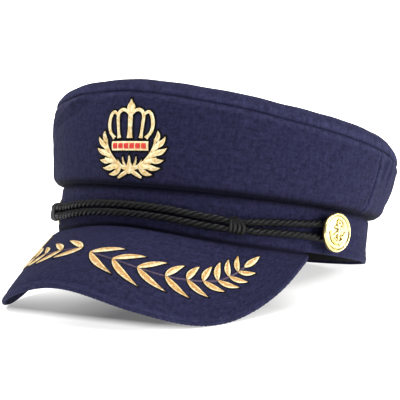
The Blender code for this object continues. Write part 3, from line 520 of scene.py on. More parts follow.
def peak_frame(turn):
    """The root of the peak's section, its run outward, its rise and its length."""
    reach = np.minimum(np.abs(turn) / PEAK_TURN, 1.0)
    droop = np.radians(table_curve(PEAK_SECTIONS, "reach", "droop", reach, True, False))
    fan = np.radians(table_curve(PEAK_SECTIONS, "reach", "fan", reach, False, False)) * np.sign(turn)
    outward = np.stack([np.sin(fan), -np.cos(fan), 0 * fan], -1)
    cos = np.cos(droop)[..., None]
    sin = np.sin(droop)[..., None]
    length = PEAK_LENGTH * table_curve(PEAK_SECTIONS, "reach", "length", reach, True, False)
    root = band_point(turn, 0.0, band_bottom(turn) - GAP)
    return root, outward * cos - UP * sin, outward * sin + UP * cos, length


def peak_section(turn, share):
    """Points of the peak's upper face at shares of its length, and the outward normals there."""
    turn, share = np.broadcast_arrays(np.asarray(turn, float), share)
    root, run, rise, length = peak_frame(turn)
    arch = PEAK_ARCH * length / PEAK_LENGTH
    level = arch * 4 * share * (1 - share)
    point = root + run * (length * share)[..., None] + rise * level[..., None]
    slope = arch * 4 * (1 - 2 * share) / length
    normal = unit(rise - run * slope[..., None])
    return point, normal


def peak_softness(turn, share):
    """How far the peak's cloth stands off its board, in metres."""
    out = share * PEAK_LENGTH
    return soft_waves("peak", turn, out) * np.sin(math.pi * np.clip(share, 0, 1))


class Form:
    """Gathers blocks of quads, with their map in metres and their tone, into one mesh."""

    def __init__(self):
        self.points = []
        self.faces = []
        self.map = []
        self.tones = []
        self.count = 0

    def add(self, grid, u, v, round_rows=False, round_columns=False, capped=False, closed=False, tone=0.0):
        """Rows and columns of points. u and v fit the grid with its first row or column repeated."""
        rows, columns = grid.shape[:2]
        index = np.arange(rows * columns).reshape(rows, columns)
        if round_rows:
            index = np.vstack([index, index[:1]])
        if round_columns:
            index = np.hstack([index, index[:, :1]])
        place = np.broadcast_to(np.stack(np.broadcast_arrays(u, v), -1), (*index.shape, 2))
        a, b = slice(0, -1), slice(1, None)
        corners = ((a, a), (a, b), (b, b), (b, a))
        quads = np.stack([index[pair] for pair in corners], -1).reshape(-1, 4)
        places = np.stack([place[pair] for pair in corners], 2).reshape(-1, 4, 2)
        caps = [index[0, :columns][::-1], index[-1, :columns]] if capped else []
        cap_places = [place[0, :columns][::-1], place[-1, :columns]] if capped else []
        points = grid.reshape(-1, 3)
        if closed:
            a, b, c, d = (points[quads[:, k]] - points.mean(axis=0) for k in range(4))
            volume = np.einsum("ij,ij", a, np.cross(b, c)) + np.einsum("ij,ij", a, np.cross(c, d))
            if volume < 0:
                quads = quads[:, ::-1]
                places = places[:, ::-1]
                caps = [cap[::-1] for cap in caps]
                cap_places = [cap[::-1] for cap in cap_places]
        self.faces += (quads + self.count).tolist() + [(cap + self.count).tolist() for cap in caps]
        self.map += [places.reshape(-1, 2), *cap_places]
        self.points.append(points)
        self.tones.append(np.broadcast_to(tone, (rows, columns)).ravel())
        self.count += len(points)

    def add_face(self, ring, places):
        self.faces.append(ring)
        self.map.append(places)

    def mesh(self, name, sharp_degrees=50):
        mesh = bpy.data.meshes.new(name)
        mesh.from_pydata(laid_down(np.concatenate(self.points)).tolist(), [], self.faces)
        layer = mesh.uv_layers.new(name="cloth_map")
        layer.uv.foreach_set("vector", np.concatenate(self.map).astype(np.float32).ravel())
        tone = mesh.attributes.new("tone", "FLOAT", "POINT")
        tone.data.foreach_set("value", np.concatenate(self.tones).astype(np.float32))
        mesh.shade_smooth()
        mesh.set_sharp_from_angle(angle=math.radians(sharp_degrees))
        return mesh


def placed(name, data):
    thing = bpy.data.objects.new(name, data)
    bpy.context.scene.collection.objects.link(thing)
    return thing


def add_piece(name, form, material, replaced=(), wall=None):
    """Links a finished form as a piece that rides on the cap."""
    mesh = form.mesh(name)
    mesh.materials.append(material)
    thing = placed(name, mesh)
    if wall:
        solidify = thing.modifiers.new("wall", "SOLIDIFY")
        solidify.thickness = wall
        solidify.offset = -1
    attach(thing, "root")
    if replaced:
        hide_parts(*replaced)


# Cloth pieces


def dense_ends(start, end, step, fine_step, fine_reach):
    """Turns from start to end, with finer steps near both ends."""
    fine = np.arange(0, fine_reach, fine_step)
    inner = np.linspace(start + fine_reach, end - fine_reach, int((end - start - 2 * fine_reach) / step) + 1)
    return np.concatenate([start + fine, inner, (end - fine)[::-1]])


def seam_drift(height):
    """How far the seam between the side panels runs forward near the crease, in degrees."""
    return 3.2 * np.exp(-height / 0.006)


def make_side_panel(name, start, end, replaced, material):
    """A length of the side panel. Its ends are turned in along the upright seams."""
    turns = dense_ends(start, end, **PANEL_STEP)
    shares = np.concatenate([np.linspace(*part) for part in SIDE_ROWS])
    turn, share = np.meshgrid(turns, shares)
    middle = (start + end) / 2
    half = (end - start) / 2
    side = (turn - middle) / half
    forward = 1 if abs(middle) < 1 else -1
    turn = turn - side * np.abs(side) ** 8 * seam_drift(share * side_panel_height(turn)) * forward
    height = share * side_panel_height(turn)
    left = side_panel_height(turn) - height
    from_end = half * (1 - np.abs(side)) * per_degree()
    stitches = np.sin(height / SEAM_STITCH["pitch"] * 2 * math.pi) * bump(from_end, SEAM_STITCH["reach"])
    tuck = with_hills(0.0, from_end, UPRIGHT_SEAM_TUCK) + SEAM_STITCH["deep"] * stitches
    grid = side_panel_face(turn, height) + band_frame(turn)[1] * tuck[..., None]
    wear_and_highlight = 0.7 * bump(from_end - 0.002, 0.0015) + 0.7 * bump(left - 0.002, 0.0016)
    # Painted shade: darker in the crease and along the seams.
    painted_shade = with_hills(0.0, height, CREASE_PAINTED_SHADE)
    painted_shade = with_hills(with_hills(painted_shade, from_end, UPRIGHT_SEAM_PAINTED_SHADE), left, TOP_SEAM_PAINTED_SHADE)
    form = Form()
    form.add(grid, turn * per_degree() * 1.08, height, tone=wear_and_highlight - painted_shade)
    add_piece(name, form, material, [replaced], CLOTH_WALL)


def make_top_panel(material):
    turns = np.arange(0, 360, 360 / TOP_TURNS)
    degrees = np.concatenate([np.linspace(0, 90, TOP_RIM_ROWS), np.full(TOP_FLAT_ROWS, 90.0)])
    flat = np.concatenate([np.zeros(TOP_RIM_ROWS), np.linspace(0, 0.985, TOP_FLAT_ROWS + 1)[1:]])
    turn, rim = np.meshgrid(turns, degrees)
    flats = np.broadcast_to(flat[:, None], turn.shape)
    grid = top_panel_grid(turn, rim, flats)
    u, v = (np.concatenate([grid[..., axis], grid[:, :1, axis]], axis=1) for axis in (0, 1))
    seam = np.radians(rim) * CROWN_RIM_INSET
    # Lighter just in from the seam by a painted highlight along the rim, and darker by painted shade in the
    # seam itself.
    tone = 0.8 * bump(seam - 0.0030, 0.0022) * (flats == 0) - 0.5 * bump(seam, 0.0007)
    form = Form()
    form.add(grid, u, v, round_columns=True, tone=tone)
    form.add_face(list(range(turn.size - len(turns), turn.size)), np.stack([u[-1, :-1], v[-1, :-1]], -1))
    add_piece("crown_top_cloth", form, material, ["crown_top"], CLOTH_WALL)


def ring_section(count, shares, wall):
    """Turns round the band and a wall's closed section, up outside and down inside, as grids.

    Gives each place's turn, its share of the height, and how far out it stands, as a column.
    """
    half = wall / 2
    over = np.radians(np.linspace(0, 180, 6)[1:-1])
    level = np.concatenate([shares, shares[-1] + half * np.sin(over) * 0.6, shares[::-1],
                            shares[0] - half * np.sin(over) * 0.6])
    flat = np.zeros(len(shares))
    out = np.concatenate([flat, half * np.cos(over) - half, flat - wall, -half - half * np.cos(over)])
    turn, share = np.meshgrid(np.arange(0, 360, 360 / count), np.clip(level, -0.02, 1.0))
    return turn, share, out[:, None]


def add_ring(name, turn, out, height, material, replaced, tone=0.0):
    """A closed ring of cloth, mapped along the band and up its height."""
    around = np.append(turn[0], 360) * per_degree()
    run = np.append(height[:, 0], height[0, 0])
    form = Form()
    form.add(band_point(turn, out, height), around[None, :], run[:, None], True, True, closed=True, tone=tone)
    add_piece(name, form, material, [replaced])


def make_headband(material):
    """The band, with a turned-up hem that swells and flares a little."""
    shares = np.concatenate([np.linspace(0.02, 0.14, 7), np.linspace(0.18, 1.0, 18)])
    turn, share, section = ring_section(BAND_TURNS, shares, CLOTH_WALL)
    hem = HEM_BULGE * np.interp(shares, (0, 0.12, 0.32, 1), (0.6, 1.0, 0.0, 0.0))
    over_peak = 1 / (1 + np.exp((folded_turn(turn) - PEAK_TURN + 2) / 1.5))
    bottom = band_bottom(turn)
    low = bottom - BAND_OVER_PEAK * over_peak
    height = low + (BAND_HEIGHT + BAND_INTO_CROWN - low) * share
    back = (1 - np.cos(np.radians(turn))) / 2
    out = section + np.interp(np.clip(share, 0, 1), shares, hem) * back
    out = out + soft_waves("band", turn, height) + back * soft_waves("hem", turn, height) * bump(share, 0.3)
    outer = section > -0.5 * CLOTH_WALL
    out = with_hills(out, height - bottom, HEM_SEAM, outer)
    out = with_hills(out, height - bottom, PEAK_SEAM_TUCK, over_peak * outer)
    out = with_hills(out, BAND_HEIGHT - height, BAND_TOP_TUCK, outer)
    # Painted shade: darker at the foot over the peak and at the top under the crown.
    painted_shade = over_peak * bump(height - bottom, BAND_FOOT_PAINTED_SHADE)
    painted_shade = with_hills(painted_shade, BAND_HEIGHT - height, BAND_TOP_PAINTED_SHADE)
    tone = 0.6 * (1 - over_peak) * bump(share, 0.05) - painted_shade
    add_ring("headband_cloth", turn, out, height, material, "headband", tone)


def make_sweatband(material):
    """The ribbed ribbon inside the band, with a rolled lower edge."""
    shares = np.concatenate([np.linspace(0.03, 0.12, 4), np.linspace(0.18, 1.0, 10)])
    turn, share, section = ring_section(SWEATBAND_TURNS, shares, SWEATBAND_WALL)
    low = band_bottom(turn) + SWEATBAND_DROP
    height = low + (BAND_HEIGHT - low) * share
    inside = -(CLOTH_WALL + GAP) - 0.0003 * (1 - bump(share, 0.08))
    out = section + inside + soft_waves("sweatband", turn, height)
    add_ring("sweatband_ribbon", turn, out, height, material, "sweatband")


def make_peak(material):
    """The peak: cloth over a board, with a turned edge that is caught by small stitches."""
    turns = np.linspace(-PEAK_TURN, PEAK_TURN, PEAK_COLUMNS)
    length = peak_frame(turns)[3]
    edge = PEAK_WALL / 2
    end = 1 - edge / length
    rows = []

    def add_row(points, tone, along):
        rows.append((points, tone + 0 * turns, along))

    for share in np.linspace(0, 1, PEAK_UNDER_ROWS):
        point, normal = peak_section(turns, end * share)
        add_row(point - normal * PEAK_WALL, 0, -share * PEAK_LENGTH)
    last, normal = peak_section(turns, end)
    run = unit(last - peak_section(turns, end - 0.02)[0])
    centre = last - normal * edge
    edge_place = turns * per_degree() * 1.35
    stitch = PEAK_STITCH["deep"] * np.cos(2 * math.pi * edge_place / PEAK_STITCH["pitch"])
    for degrees in np.linspace(180, 0, 11)[1:-1]:
        angle = math.radians(degrees)
        size = edge + stitch * bump(degrees - 115, 35) - 0.00025 * bump(degrees - 130, 14)
        outward = normal * math.cos(angle) + run * math.sin(angle)
        add_row(centre + outward * size[:, None], 0.5, -PEAK_LENGTH)
    reach = np.linspace(0, 1, PEAK_UPPER_ROWS)
    reach = reach - 0.55 * np.sin(2 * math.pi * reach) / (2 * math.pi)
    for share in reach[::-1]:
        point, normal = peak_section(turns, end * share)
        from_edge = (1 - share) * length
        from_root = share * length
        lift = with_hills(peak_softness(turns, end * share), from_edge, PEAK_EDGE_SEAM)
        lift = with_hills(lift, from_root, PEAK_ROOT_TUCK)
        # Lighter along the edge; darker at the root by painted shade, in the crease under the band.
        tone = 0.6 * bump(from_edge, 0.002) - bump(from_root, 0.0016)
        add_row(point + normal * lift[:, None], tone, share * PEAK_LENGTH)
    add_row(band_point(turns, -PEAK_TONGUE, band_bottom(turns) - GAP), 0, 0.0)
    points, tones, along = zip(*rows)
    grid = np.stack(points)
    v = np.append(along, along[0])
    form = Form()
    form.add(grid, turns[None, :] * per_degree() * 1.25, v[:, None], round_rows=True, closed=True,
             tone=np.stack(tones))
    count, columns = grid.shape[:2]
    for column, order in ((0, -1), (columns - 1, 1)):
        ring = [row * columns + column for row in range(count)]
        form.add_face(ring[::order], np.zeros((count, 2)))
    add_piece("peak_cloth", form, material, ["peak"])


# Cord and knots


def cord_radius():
    return CORD_DIAMETER / 2


def cord_reach(turn):
    return np.minimum(np.abs(turn) / BUTTON_TURN, 1.0)


def cord_level(turn):
    return BUTTON_LEVEL * table_curve(CORD_SECTIONS, "reach", "level", cord_reach(turn))


def loop_radius():
    return BUTTON_SHANK_DIAMETER / 2 + GAP + cord_radius()


def cord_half_spacing(turn):
    touching = cord_radius() + GAP / 2
    spread = table_curve(CORD_SECTIONS, "reach", "spread", cord_reach(turn))
    return touching + (loop_radius() - touching) * spread


def cord_standoff(turn):
    knot_reach = (KNOT_LENGTH / 2 + cord_radius()) / per_degree()
    away = (np.abs(np.abs(turn) - KNOT_TURN - KNOT_SLIP) - knot_reach) * per_degree()
    share = np.clip(1 - away / KNOT_EASE, 0, 1)
    return GAP + cord_radius() + (KNOT_BACK_WALL + GAP) * share * share * (3 - 2 * share)


def knot_squeeze(turn):
    """How much the knots press the cord together: 1 away from them."""
    away = np.abs(np.abs(turn) - KNOT_TURN - KNOT_SLIP) * per_degree()
    return 1 - 0.24 * bump(away, 0.0065)


def cord_path(step):
    """The cord's closed middle line at even steps: its points, turns, places along it and length."""
    turns = np.linspace(-BUTTON_TURN, BUTTON_TURN, 700)
    bend = np.linspace(0, math.pi, 40)[1:-1]
    beyond = BUTTON_TURN + loop_radius() * np.sin(bend) / per_degree()
    swing = BUTTON_LEVEL + loop_radius() * np.cos(bend)
    level = cord_level(turns)
    half = cord_half_spacing(turns) * knot_squeeze(turns) * (1 - (1 - CORD_STRETCHED) * np.cos(
        np.radians(90 * turns / BUTTON_TURN)))
    turn = np.concatenate([turns, beyond, turns[::-1], -beyond])
    height = np.concatenate([level + half, swing, (level - half)[::-1], swing[::-1]])
    points = band_point(turn, cord_standoff(turn) - 0.0016 * (1 - knot_squeeze(turn)), height)
    closed = np.vstack([points, points[:1]])
    distance = np.append(0, np.cumsum(np.linalg.norm(np.diff(closed, axis=0), axis=1)))
    length = distance[-1]
    at = np.arange(0, length, length / round(length / step))
    read_turn = np.interp(at, distance, np.append(turn, turn[0]))
    path = np.stack([np.interp(at, distance, closed[:, k]) for k in range(3)], -1)
    return path, read_turn, at, length


def strand_rings(centre, first, second, radius, twist):
    """Rings of points round a strand's middle line, fluted by its plies."""
    angle = circle(STRAND_SIDES)[None, :]
    plies = np.abs(np.sin(STRAND_PLIES / 2 * (angle + twist[:, None])))
    fluted = np.broadcast_to(radius, twist.shape)[:, None] * (0.90 + 0.13 * plies)
    rings = first[:, None] * np.cos(angle)[..., None] + second[:, None] * np.sin(angle)[..., None]
    return centre[:, None] + rings * fluted[..., None]


def closed_run(points):
    """The direction of a closed line at each of its points."""
    return unit(np.roll(points, -1, axis=0) - np.roll(points, 1, axis=0))


def make_cord(material):
    """One cord of three twisted strands: an upper run, a lower run and a bend round each shank."""
    path, read_turn, at, length = cord_path(0.00042)
    normal = band_frame(read_turn)[1]
    thin = knot_squeeze(read_turn)
    up = -unit(np.cross(closed_run(path), normal))
    turns = round(length / CORD_LAY)
    form = Form()
    for strand in range(CORD_STRANDS):
        phase = 2 * math.pi * (turns * at / length + strand / CORD_STRANDS)
        outward = normal * np.cos(phase)[:, None] + up * np.sin(phase)[:, None]
        centre = path + outward * (STRAND_HELIX * thin)[:, None]
        along = closed_run(centre)
        second = unit(np.cross(along, outward))
        first = np.cross(second, along)
        twist = -2 * math.pi * round(length / 0.006) * at / length
        grid = strand_rings(centre, first, second, STRAND_RADIUS * thin, twist)
        u = np.append(at, length)[:, None]
        v = np.linspace(0, 2 * math.pi * STRAND_RADIUS, STRAND_SIDES + 1)[None, :]
        form.add(grid, u, v, True, True, closed=True, tone=strand / CORD_STRANDS)
    add_piece("twisted_cord", form, material, ["band_cord"])


def make_knot(name, side, replaced, material):
    """Four turns of yarn round both runs, close together above and fanned out below."""
    place = KNOT_TURN + KNOT_SLIP
    origin, out = band_frame(np.array(side * place))
    along = np.array((-out[1], out[0], 0.0)) * side
    thin = float(knot_squeeze(place))
    level = float(cord_level(place))
    standoff = float(cord_standoff(place)) - 0.0004
    half = float(cord_half_spacing(place)) * thin * CORD_STRETCHED
    radius = cord_radius() * thin * CORD_STRETCHED + 0.00035
    angle = circle(WRAP_TURNS)
    straight = half * np.clip(np.sin(angle) * 2.2, -1, 1)
    high = straight + radius * np.sin(angle)
    rise = (high + half + radius) / (2 * (half + radius))
    form = Form()
    for number, wrap in enumerate(KNOT_WRAPS):
        deep = np.maximum(standoff + (radius + wrap["over"]) * np.cos(angle), KNOT_BACK)
        shift = wrap["low"] + (wrap["high"] - wrap["low"]) * rise ** 1.6
        shift = (shift + wrap["bow"] * np.sin(math.pi * rise))[:, None]
        grown = (high * (1 + wrap["over"] / radius))[:, None]
        centre = origin + out * (deep[:, None] - shift ** 2 / BAND_WIDTH)
        centre = centre + along * shift + UP * (level + grown)
        run = closed_run(centre)
        middle = origin + out * standoff + along * shift + UP * (level + straight)[:, None]
        first = unit(centre - middle)
        second = unit(np.cross(run, first))
        first = np.cross(second, run)
        flat = np.where(deep < KNOT_BACK + 0.0005, 0.5, 1.0) * WRAP_HALF_THICKNESS / WRAP_HALF_WIDTH
        grid = strand_rings(centre, first * flat[:, None], second, WRAP_HALF_WIDTH, 6 * angle + number)
        u = np.linspace(0, 0.034, WRAP_TURNS + 1)[:, None]
        v = np.linspace(0, 0.0075, STRAND_SIDES + 1)[None, :]
        form.add(grid, u, v, True, True, closed=True, tone=number / 4)
    shift = np.linspace(-0.0044, 0.0038, 6)[:, None]
    deep = np.maximum(standoff + 0.92 * radius * np.cos(angle), KNOT_BACK)[None, :] - shift ** 2 / BAND_WIDTH
    high = (level + straight + 0.92 * radius * np.sin(angle))[None, :] + 0 * shift
    core = origin + out * deep[..., None] + along * (shift + 0 * deep)[..., None] + UP * high[..., None]
    v = np.linspace(0, 0.03, WRAP_TURNS + 1)[None, :]
    form.add(core, shift, v, round_columns=True, capped=True, closed=True)
    add_piece(name, form, material, [replaced])


# Buttons


def stroke_distance(x, y, points):
    """Distance from every place to a line of straight strokes."""
    nearest = np.full(x.shape, 1e9)
    for (ax, ay), (bx, by) in zip(points, points[1:]):
        dx = bx - ax
        dy = by - ay
        t = np.clip(((x - ax) * dx + (y - ay) * dy) / (dx * dx + dy * dy), 0, 1)
        nearest = np.minimum(nearest, np.hypot(x - ax - t * dx, y - ay - t * dy))
    return nearest


def raised(distance, half_width, height):
    """A rounded rib of a half width around a line."""
    share = np.clip(distance / half_width, 0, 1)
    return height * np.sqrt(np.clip(1 - share ** 2, 0, 1)) ** 0.8


def button_height(x, y):
    """The button's face as a height over its back, at shares of its radius."""
    radius = np.hypot(x, y)
    height = table_curve(BUTTON_PROFILE, "radius", "height", radius, True, False) * BUTTON_THICKNESS
    rope = np.sin(np.arctan2(y, x) * 30 + (radius - 0.9) * 30) * bump(radius - 0.90, 0.045)
    relief = 0 * x

    def rib(distance, half_width, tall=RELIEF):
        return np.maximum(relief, raised(distance, half_width, tall))

    for stroke in ANCHOR_STROKES:
        points = smooth_line(stroke["points"], 14) if len(stroke["points"]) > 2 else stroke["points"]
        relief = rib(stroke_distance(x, y, points), stroke["width"] * 0.72)
    for side in (-1, 1):
        relief = rib(stroke_distance(x, y, [(side * px, py) for px, py in ANCHOR_FLUKE]), 0.085)
    cx, cy = ANCHOR_RING["centre"]
    ring = np.abs(np.hypot(x - cx, y - cy) - ANCHOR_RING["radius"])
    relief = rib(ring, ANCHOR_RING["width"] * 0.75)
    t = np.linspace(-0.58, 0.40, 26)
    cable = np.stack([0.26 * np.sin(t * 7.6) * (1 - 0.3 * t), t], -1)
    relief = rib(stroke_distance(x, y, cable), 0.065, CABLE_RELIEF)
    return height + 0.00005 * rope + relief


def make_button(name, side, replaced, material):
    """A stamped button: a dished face with an anchor and a roped rim, and a shank behind."""
    origin, out = band_frame(np.array(side * BUTTON_TURN))
    along = np.array((-out[1], out[0], 0.0))
    radius = BUTTON_DIAMETER / 2
    centre = origin + out * (2 * GAP + CORD_DIAMETER) + UP * BUTTON_LEVEL
    rings = np.concatenate([np.linspace(0.004, 0.84, 66), np.linspace(0.85, 1.0, 16)])
    angles = circle(BUTTON_ANGLES)
    r, a = np.meshgrid(rings, angles, indexing="ij")
    x = r * np.cos(a)
    y = r * np.sin(a)
    height = button_height(x, y)
    near = sum(button_height(x + 0.05 * math.cos(t), y + 0.05 * math.sin(t)) for t in range(6)) / 6
    # How deep each place lies below its neighbours: the gold's painted shade darkens these hollows.
    hollow = np.clip((near - height) / 0.00016, 0, 1)
    back = np.array(BUTTON_BACK)
    x = np.vstack([x, back[:, :1] * np.cos(angles)])
    y = np.vstack([y, back[:, :1] * np.sin(angles)])
    height = np.vstack([height, back[:, 1:] * BUTTON_THICKNESS + 0 * angles])
    grid = centre + along * (x * radius)[..., None] + UP * (y * radius)[..., None] + out * height[..., None]
    u, v = (np.concatenate([place, place[:, :1]], axis=1) * radius for place in (x, y))
    form = Form()
    form.add(grid, u, v, round_columns=True, capped=True, closed=True,
             tone=np.vstack([hollow, np.full((len(back), len(angles)), 0.6)]))
    add_piece(name, form, material, [replaced])


# Embroidery


def satin(form, place, line, half_widths, height, slant=0.5, tone=0.0, ridge=0.00007, columns=9):
    """A raised line of satin stitch on a face: padded across, with threads that cross it aslant."""
    line = np.asarray(line, float)
    distance = np.append(0, np.cumsum(np.linalg.norm(np.diff(line, axis=0), axis=1)))
    steps = max(int(distance[-1] / THREAD_STEP), 6) if ridge else max(int(distance[-1] / 0.0006), 6)
    at = np.linspace(0, distance[-1], steps + 1)
    middle = np.stack([np.interp(at, distance, line[:, k]) for k in range(2)], -1)
    half = np.interp(at, distance, half_widths)
    run = unit(np.gradient(middle, axis=0))
    across = np.stack([-run[:, 1], run[:, 0]], -1)
    c = np.sin(np.linspace(-1, 1, columns) * math.pi / 2)
    flat = middle[:, None] + across[:, None] * (half[:, None] * c)[..., None]
    full = np.sqrt(np.clip(1 - (0.98 * c) ** 2, 0, 1))[None, :] ** 0.7
    slim = np.clip(half / (0.3 * max(half.max(), 1e-6)), 0, 1)[:, None] ** 0.5
    phase = (at[:, None] + slant * half[:, None] * np.abs(c)) / THREAD_PITCH
    level = height * full * slim + ridge * (2 * np.abs(np.sin(math.pi * phase)) - 1) * full * slim
    level = np.concatenate([level, np.full((len(at), 2), -STITCH_SINK)], axis=1)
    flat = np.concatenate([flat, flat[:, -1:], flat[:, :1]], axis=1)
    points, normal = place(flat[..., 0], flat[..., 1])
    grid = points + normal * level[..., None]
    u = at[:, None]
    v = np.append(np.append(c * half.max(), (half.max(), -half.max())), c[0] * half.max())[None, :]
    core = np.append((1 - np.abs(c)), (0, 0))[None, :]
    form.add(grid, u, v, round_columns=True, capped=True, closed=True, tone=tone * core + 0 * at[:, None])


def leaf_line(root, tip, bend):
    """The middle line of a leaf, bowed sideways by a share of its length."""
    root = np.asarray(root, float)
    tip = np.asarray(tip, float)
    share = np.linspace(0, 1, LEAF_STEPS)[:, None]
    along = tip - root
    across = np.array((-along[1], along[0]))
    return root + along * share + across * bend * 4 * share * (1 - share)


def leaf_widths(width, stalk=0.2, sharpness=0.85):
    share = np.linspace(0, 1, LEAF_STEPS)
    fullness = stalk * (1 - share) + (1 - stalk) * np.sin(math.pi * share ** sharpness)
    return width / 2 * np.clip(fullness, 0.02, 1)


def edged(gold, dark, place, line, widths, height, margin=EDGING_MARGIN, **kind):
    """A satin line in gold, and the dark thread that shows all round it."""
    line = np.asarray(line, float)
    widths = np.broadcast_to(np.asarray(widths, float), (len(line),))
    satin(gold, place, line, widths, height, **kind)
    before = line[0] - unit(line[1] - line[0]) * margin * 0.8
    after = line[-1] + unit(line[-1] - line[-2]) * margin * 0.8
    longer = np.vstack([before, line, after])
    wider = np.concatenate([[widths[0] * 0.5], widths, [widths[-1] * 0.5]]) + margin
    satin(dark, place, longer, wider, EDGING_HEIGHT, ridge=0, columns=7)


def numeric_place(face, x, y):
    """Points of a face and its normals, found from places close by."""
    step = 0.0004
    point = face(x, y)
    across = face(x + step, y) - face(x - step, y)
    along = face(x, y + step) - face(x, y - step)
    return point, unit(np.cross(across, along))


def badge_face(x, y):
    """The badge as it was sewn on: a little aslant, and a little to one side."""
    degree = math.radians(1) * (BAND_LENGTH / 2 + CROWN_FOLD)
    tilt = math.radians(BADGE_TILT)
    rise = y - BADGE_HEIGHT / 2
    across = x * math.cos(tilt) - rise * math.sin(tilt) + BADGE_SHIFT + BADGE_SIDE_STEP
    high = x * math.sin(tilt) + rise * math.cos(tilt) + BADGE_HEIGHT / 2 + BADGE_BOTTOM
    return side_panel_face(across / degree, high)


def badge_place(x, y):
    return numeric_place(badge_face, x, y)


def badge_flat(point, side=1):
    return np.array((side * point[0] * BADGE_DRAWN_IN * BADGE_WIDTH / 2, point[1] * BADGE_HEIGHT))


def badge_crown_flat(point, side=1):
    foot = JEWEL_BAND["top"] + CROWN_CLEARANCE
    return badge_flat((point[0] * BADGE_CROWN_DRAWN_IN, foot + (1 - foot) * point[1]), side)


def badge_leaf(leaf, flat, side=1, bend=0.0, stalk=0.2, sharpness=0.85):
    """A leaf of the badge: its middle line and its half widths."""
    line = leaf_line(flat(leaf["root"], side), flat(leaf["tip"], side), bend * side)
    return line, leaf_widths(leaf["width"] * BADGE_WIDTH, stalk, sharpness)


def badge_stroke(points, flat, width, taper, count, side=1):
    """A smooth stroke of the badge: its middle line and its half widths."""
    line = smooth_line([flat(point, side) for point in points], count)
    return line, width * BADGE_WIDTH / 2 * np.interp(np.linspace(0, 1, count), *taper)


def make_badge(gold_material, dark_material, red_material):
    dark = Form()

    def sew(form, shape, height, **kind):
        edged(form, dark, badge_place, *shape, height, **kind)

    wreath = Form()
    for side in (1, -1):
        sew(wreath, badge_stroke(WREATH_STEM, badge_flat, WREATH_STEM_WIDTH, WREATH_STEM_TAPER, 30, side),
            0.0010, tone=0.5)
        for number, leaf in enumerate(WREATH_LEAVES):
            height = 0.0011 + 0.0002 * (number % 2)
            sew(wreath, badge_leaf(leaf, badge_flat, side, -0.14, 0.35), height, tone=0.5)
        for leaf in WREATH_INNER_LEAVES:
            satin(wreath, badge_place, *badge_leaf(leaf, badge_flat, side, -0.12, 0.35), 0.0017, tone=0.2)
    for leaf in WREATH_SPIKES:
        sew(wreath, badge_leaf(leaf, badge_flat), leaf["height"], tone=0.3)
    add_piece("badge_wreath_stitches", wreath, gold_material, ["badge_wreath"])

    crown = Form()
    for number, bar in enumerate(CROWN_BARS):
        for side in (1, -1):
            sew(crown, badge_stroke(bar, badge_crown_flat, CROWN_BAR_WIDTH, CROWN_BAR_TAPER, 36, side),
                0.0010 + 0.0001 * number, slant=0.2, tone=0.35)
    sew(crown, badge_stroke(CROWN_POST, badge_crown_flat, CROWN_POST_WIDTH, CROWN_POST_TAPER, 20),
        0.0012, slant=0.2, tone=0.35)
    for leaf in CROWN_FINIALS:
        shape = badge_leaf(leaf, badge_crown_flat, stalk=leaf["stalk"], sharpness=leaf["sharpness"])
        sew(crown, shape, leaf["height"], tone=0.4)
    add_piece("badge_crown_stitches", crown, gold_material, ["badge_crown"])

    left, bottom = badge_flat((JEWEL_BAND["left"], JEWEL_BAND["bottom"]))
    right, top = badge_flat((JEWEL_BAND["right"], JEWEL_BAND["top"]))

    def level_line(start, end, count):
        return np.stack([np.linspace(start, end, count), np.full(count, (bottom + top) / 2)], -1)

    band = Form()
    sew(band, (level_line(left, right, 20), (top - bottom) / 2), 0.0009, slant=0, tone=0.1)
    add_piece("badge_band_stitches", band, gold_material, ["badge_band"])
    pitch = (right - left) / (JEWEL_COUNT + 2 * JEWEL_BAND_MARGIN)
    half = pitch * 0.37
    for number in range(JEWEL_COUNT):
        x = (left + right) / 2 + pitch * (number - (JEWEL_COUNT - 1) / 2)
        jewel = Form()
        widths = np.full(8, (top - bottom) * 0.33)
        satin(jewel, badge_place, level_line(x - half, x + half, 8), widths, 0.0015, slant=0, tone=0.3)
        node = f"badge_jewel_{number + 1}"
        add_piece(f"{node}_stitches", jewel, red_material, [node])
    add_piece("badge_edging", dark, dark_material)


def peak_place(side):
    """Maps (length along the seam, length out from it) onto the peak's upper face."""
    def place(x, y):
        turn = side * x / per_degree()
        share = y / peak_frame(turn)[3]
        point, normal = peak_section(turn, share)
        return point + normal * peak_softness(turn, share)[..., None], normal
    return place


def branch_flat(turn, out):
    return np.array((turn * per_degree(), out * PEAK_LENGTH))


def make_branch(name, side, replaced, gold_material, dark, stems):
    """A laurel branch: a thin stem with pairs of padded leaves, pale at their edges."""
    place = peak_place(side)
    sewn = BRANCH_SEWN[side]
    gold = Form()

    def sew(root, tip, bend, width, tone):
        line = leaf_line(root, tip, bend)
        edged(gold, dark, place, line, leaf_widths(width, 0.15), LEAF_HEIGHT, LEAF_MARGIN, tone=tone)

    roots = [branch_flat(pair["turn"] * sewn["turns"], pair["out"] + sewn["out"])
             for pair in (*BRANCH_PAIRS, BRANCH_TIP)]
    widths = np.full(90, BRANCH_STEM_WIDTH / 2)
    satin(stems, place, smooth_line(roots, 90), widths, 0.0005, slant=1.0, columns=7)
    for i, (root, pair) in enumerate(zip(roots, BRANCH_PAIRS)):
        width = BRANCH_LEAF_WIDTH * (1 - BRANCH_TAPER * i / len(BRANCH_PAIRS))
        sew(root, root + branch_flat(*pair["up"]), -0.07, width, 0.95)
        sew(root, root + branch_flat(*pair["down"]) * sewn["lower"], 0.07, width, 1.35)
    sew(roots[-1], roots[-1] + branch_flat(*BRANCH_TIP["up"]), 0, BRANCH_LEAF_WIDTH, 0.8)
    add_piece(name, gold, gold_material, [replaced])


# Materials


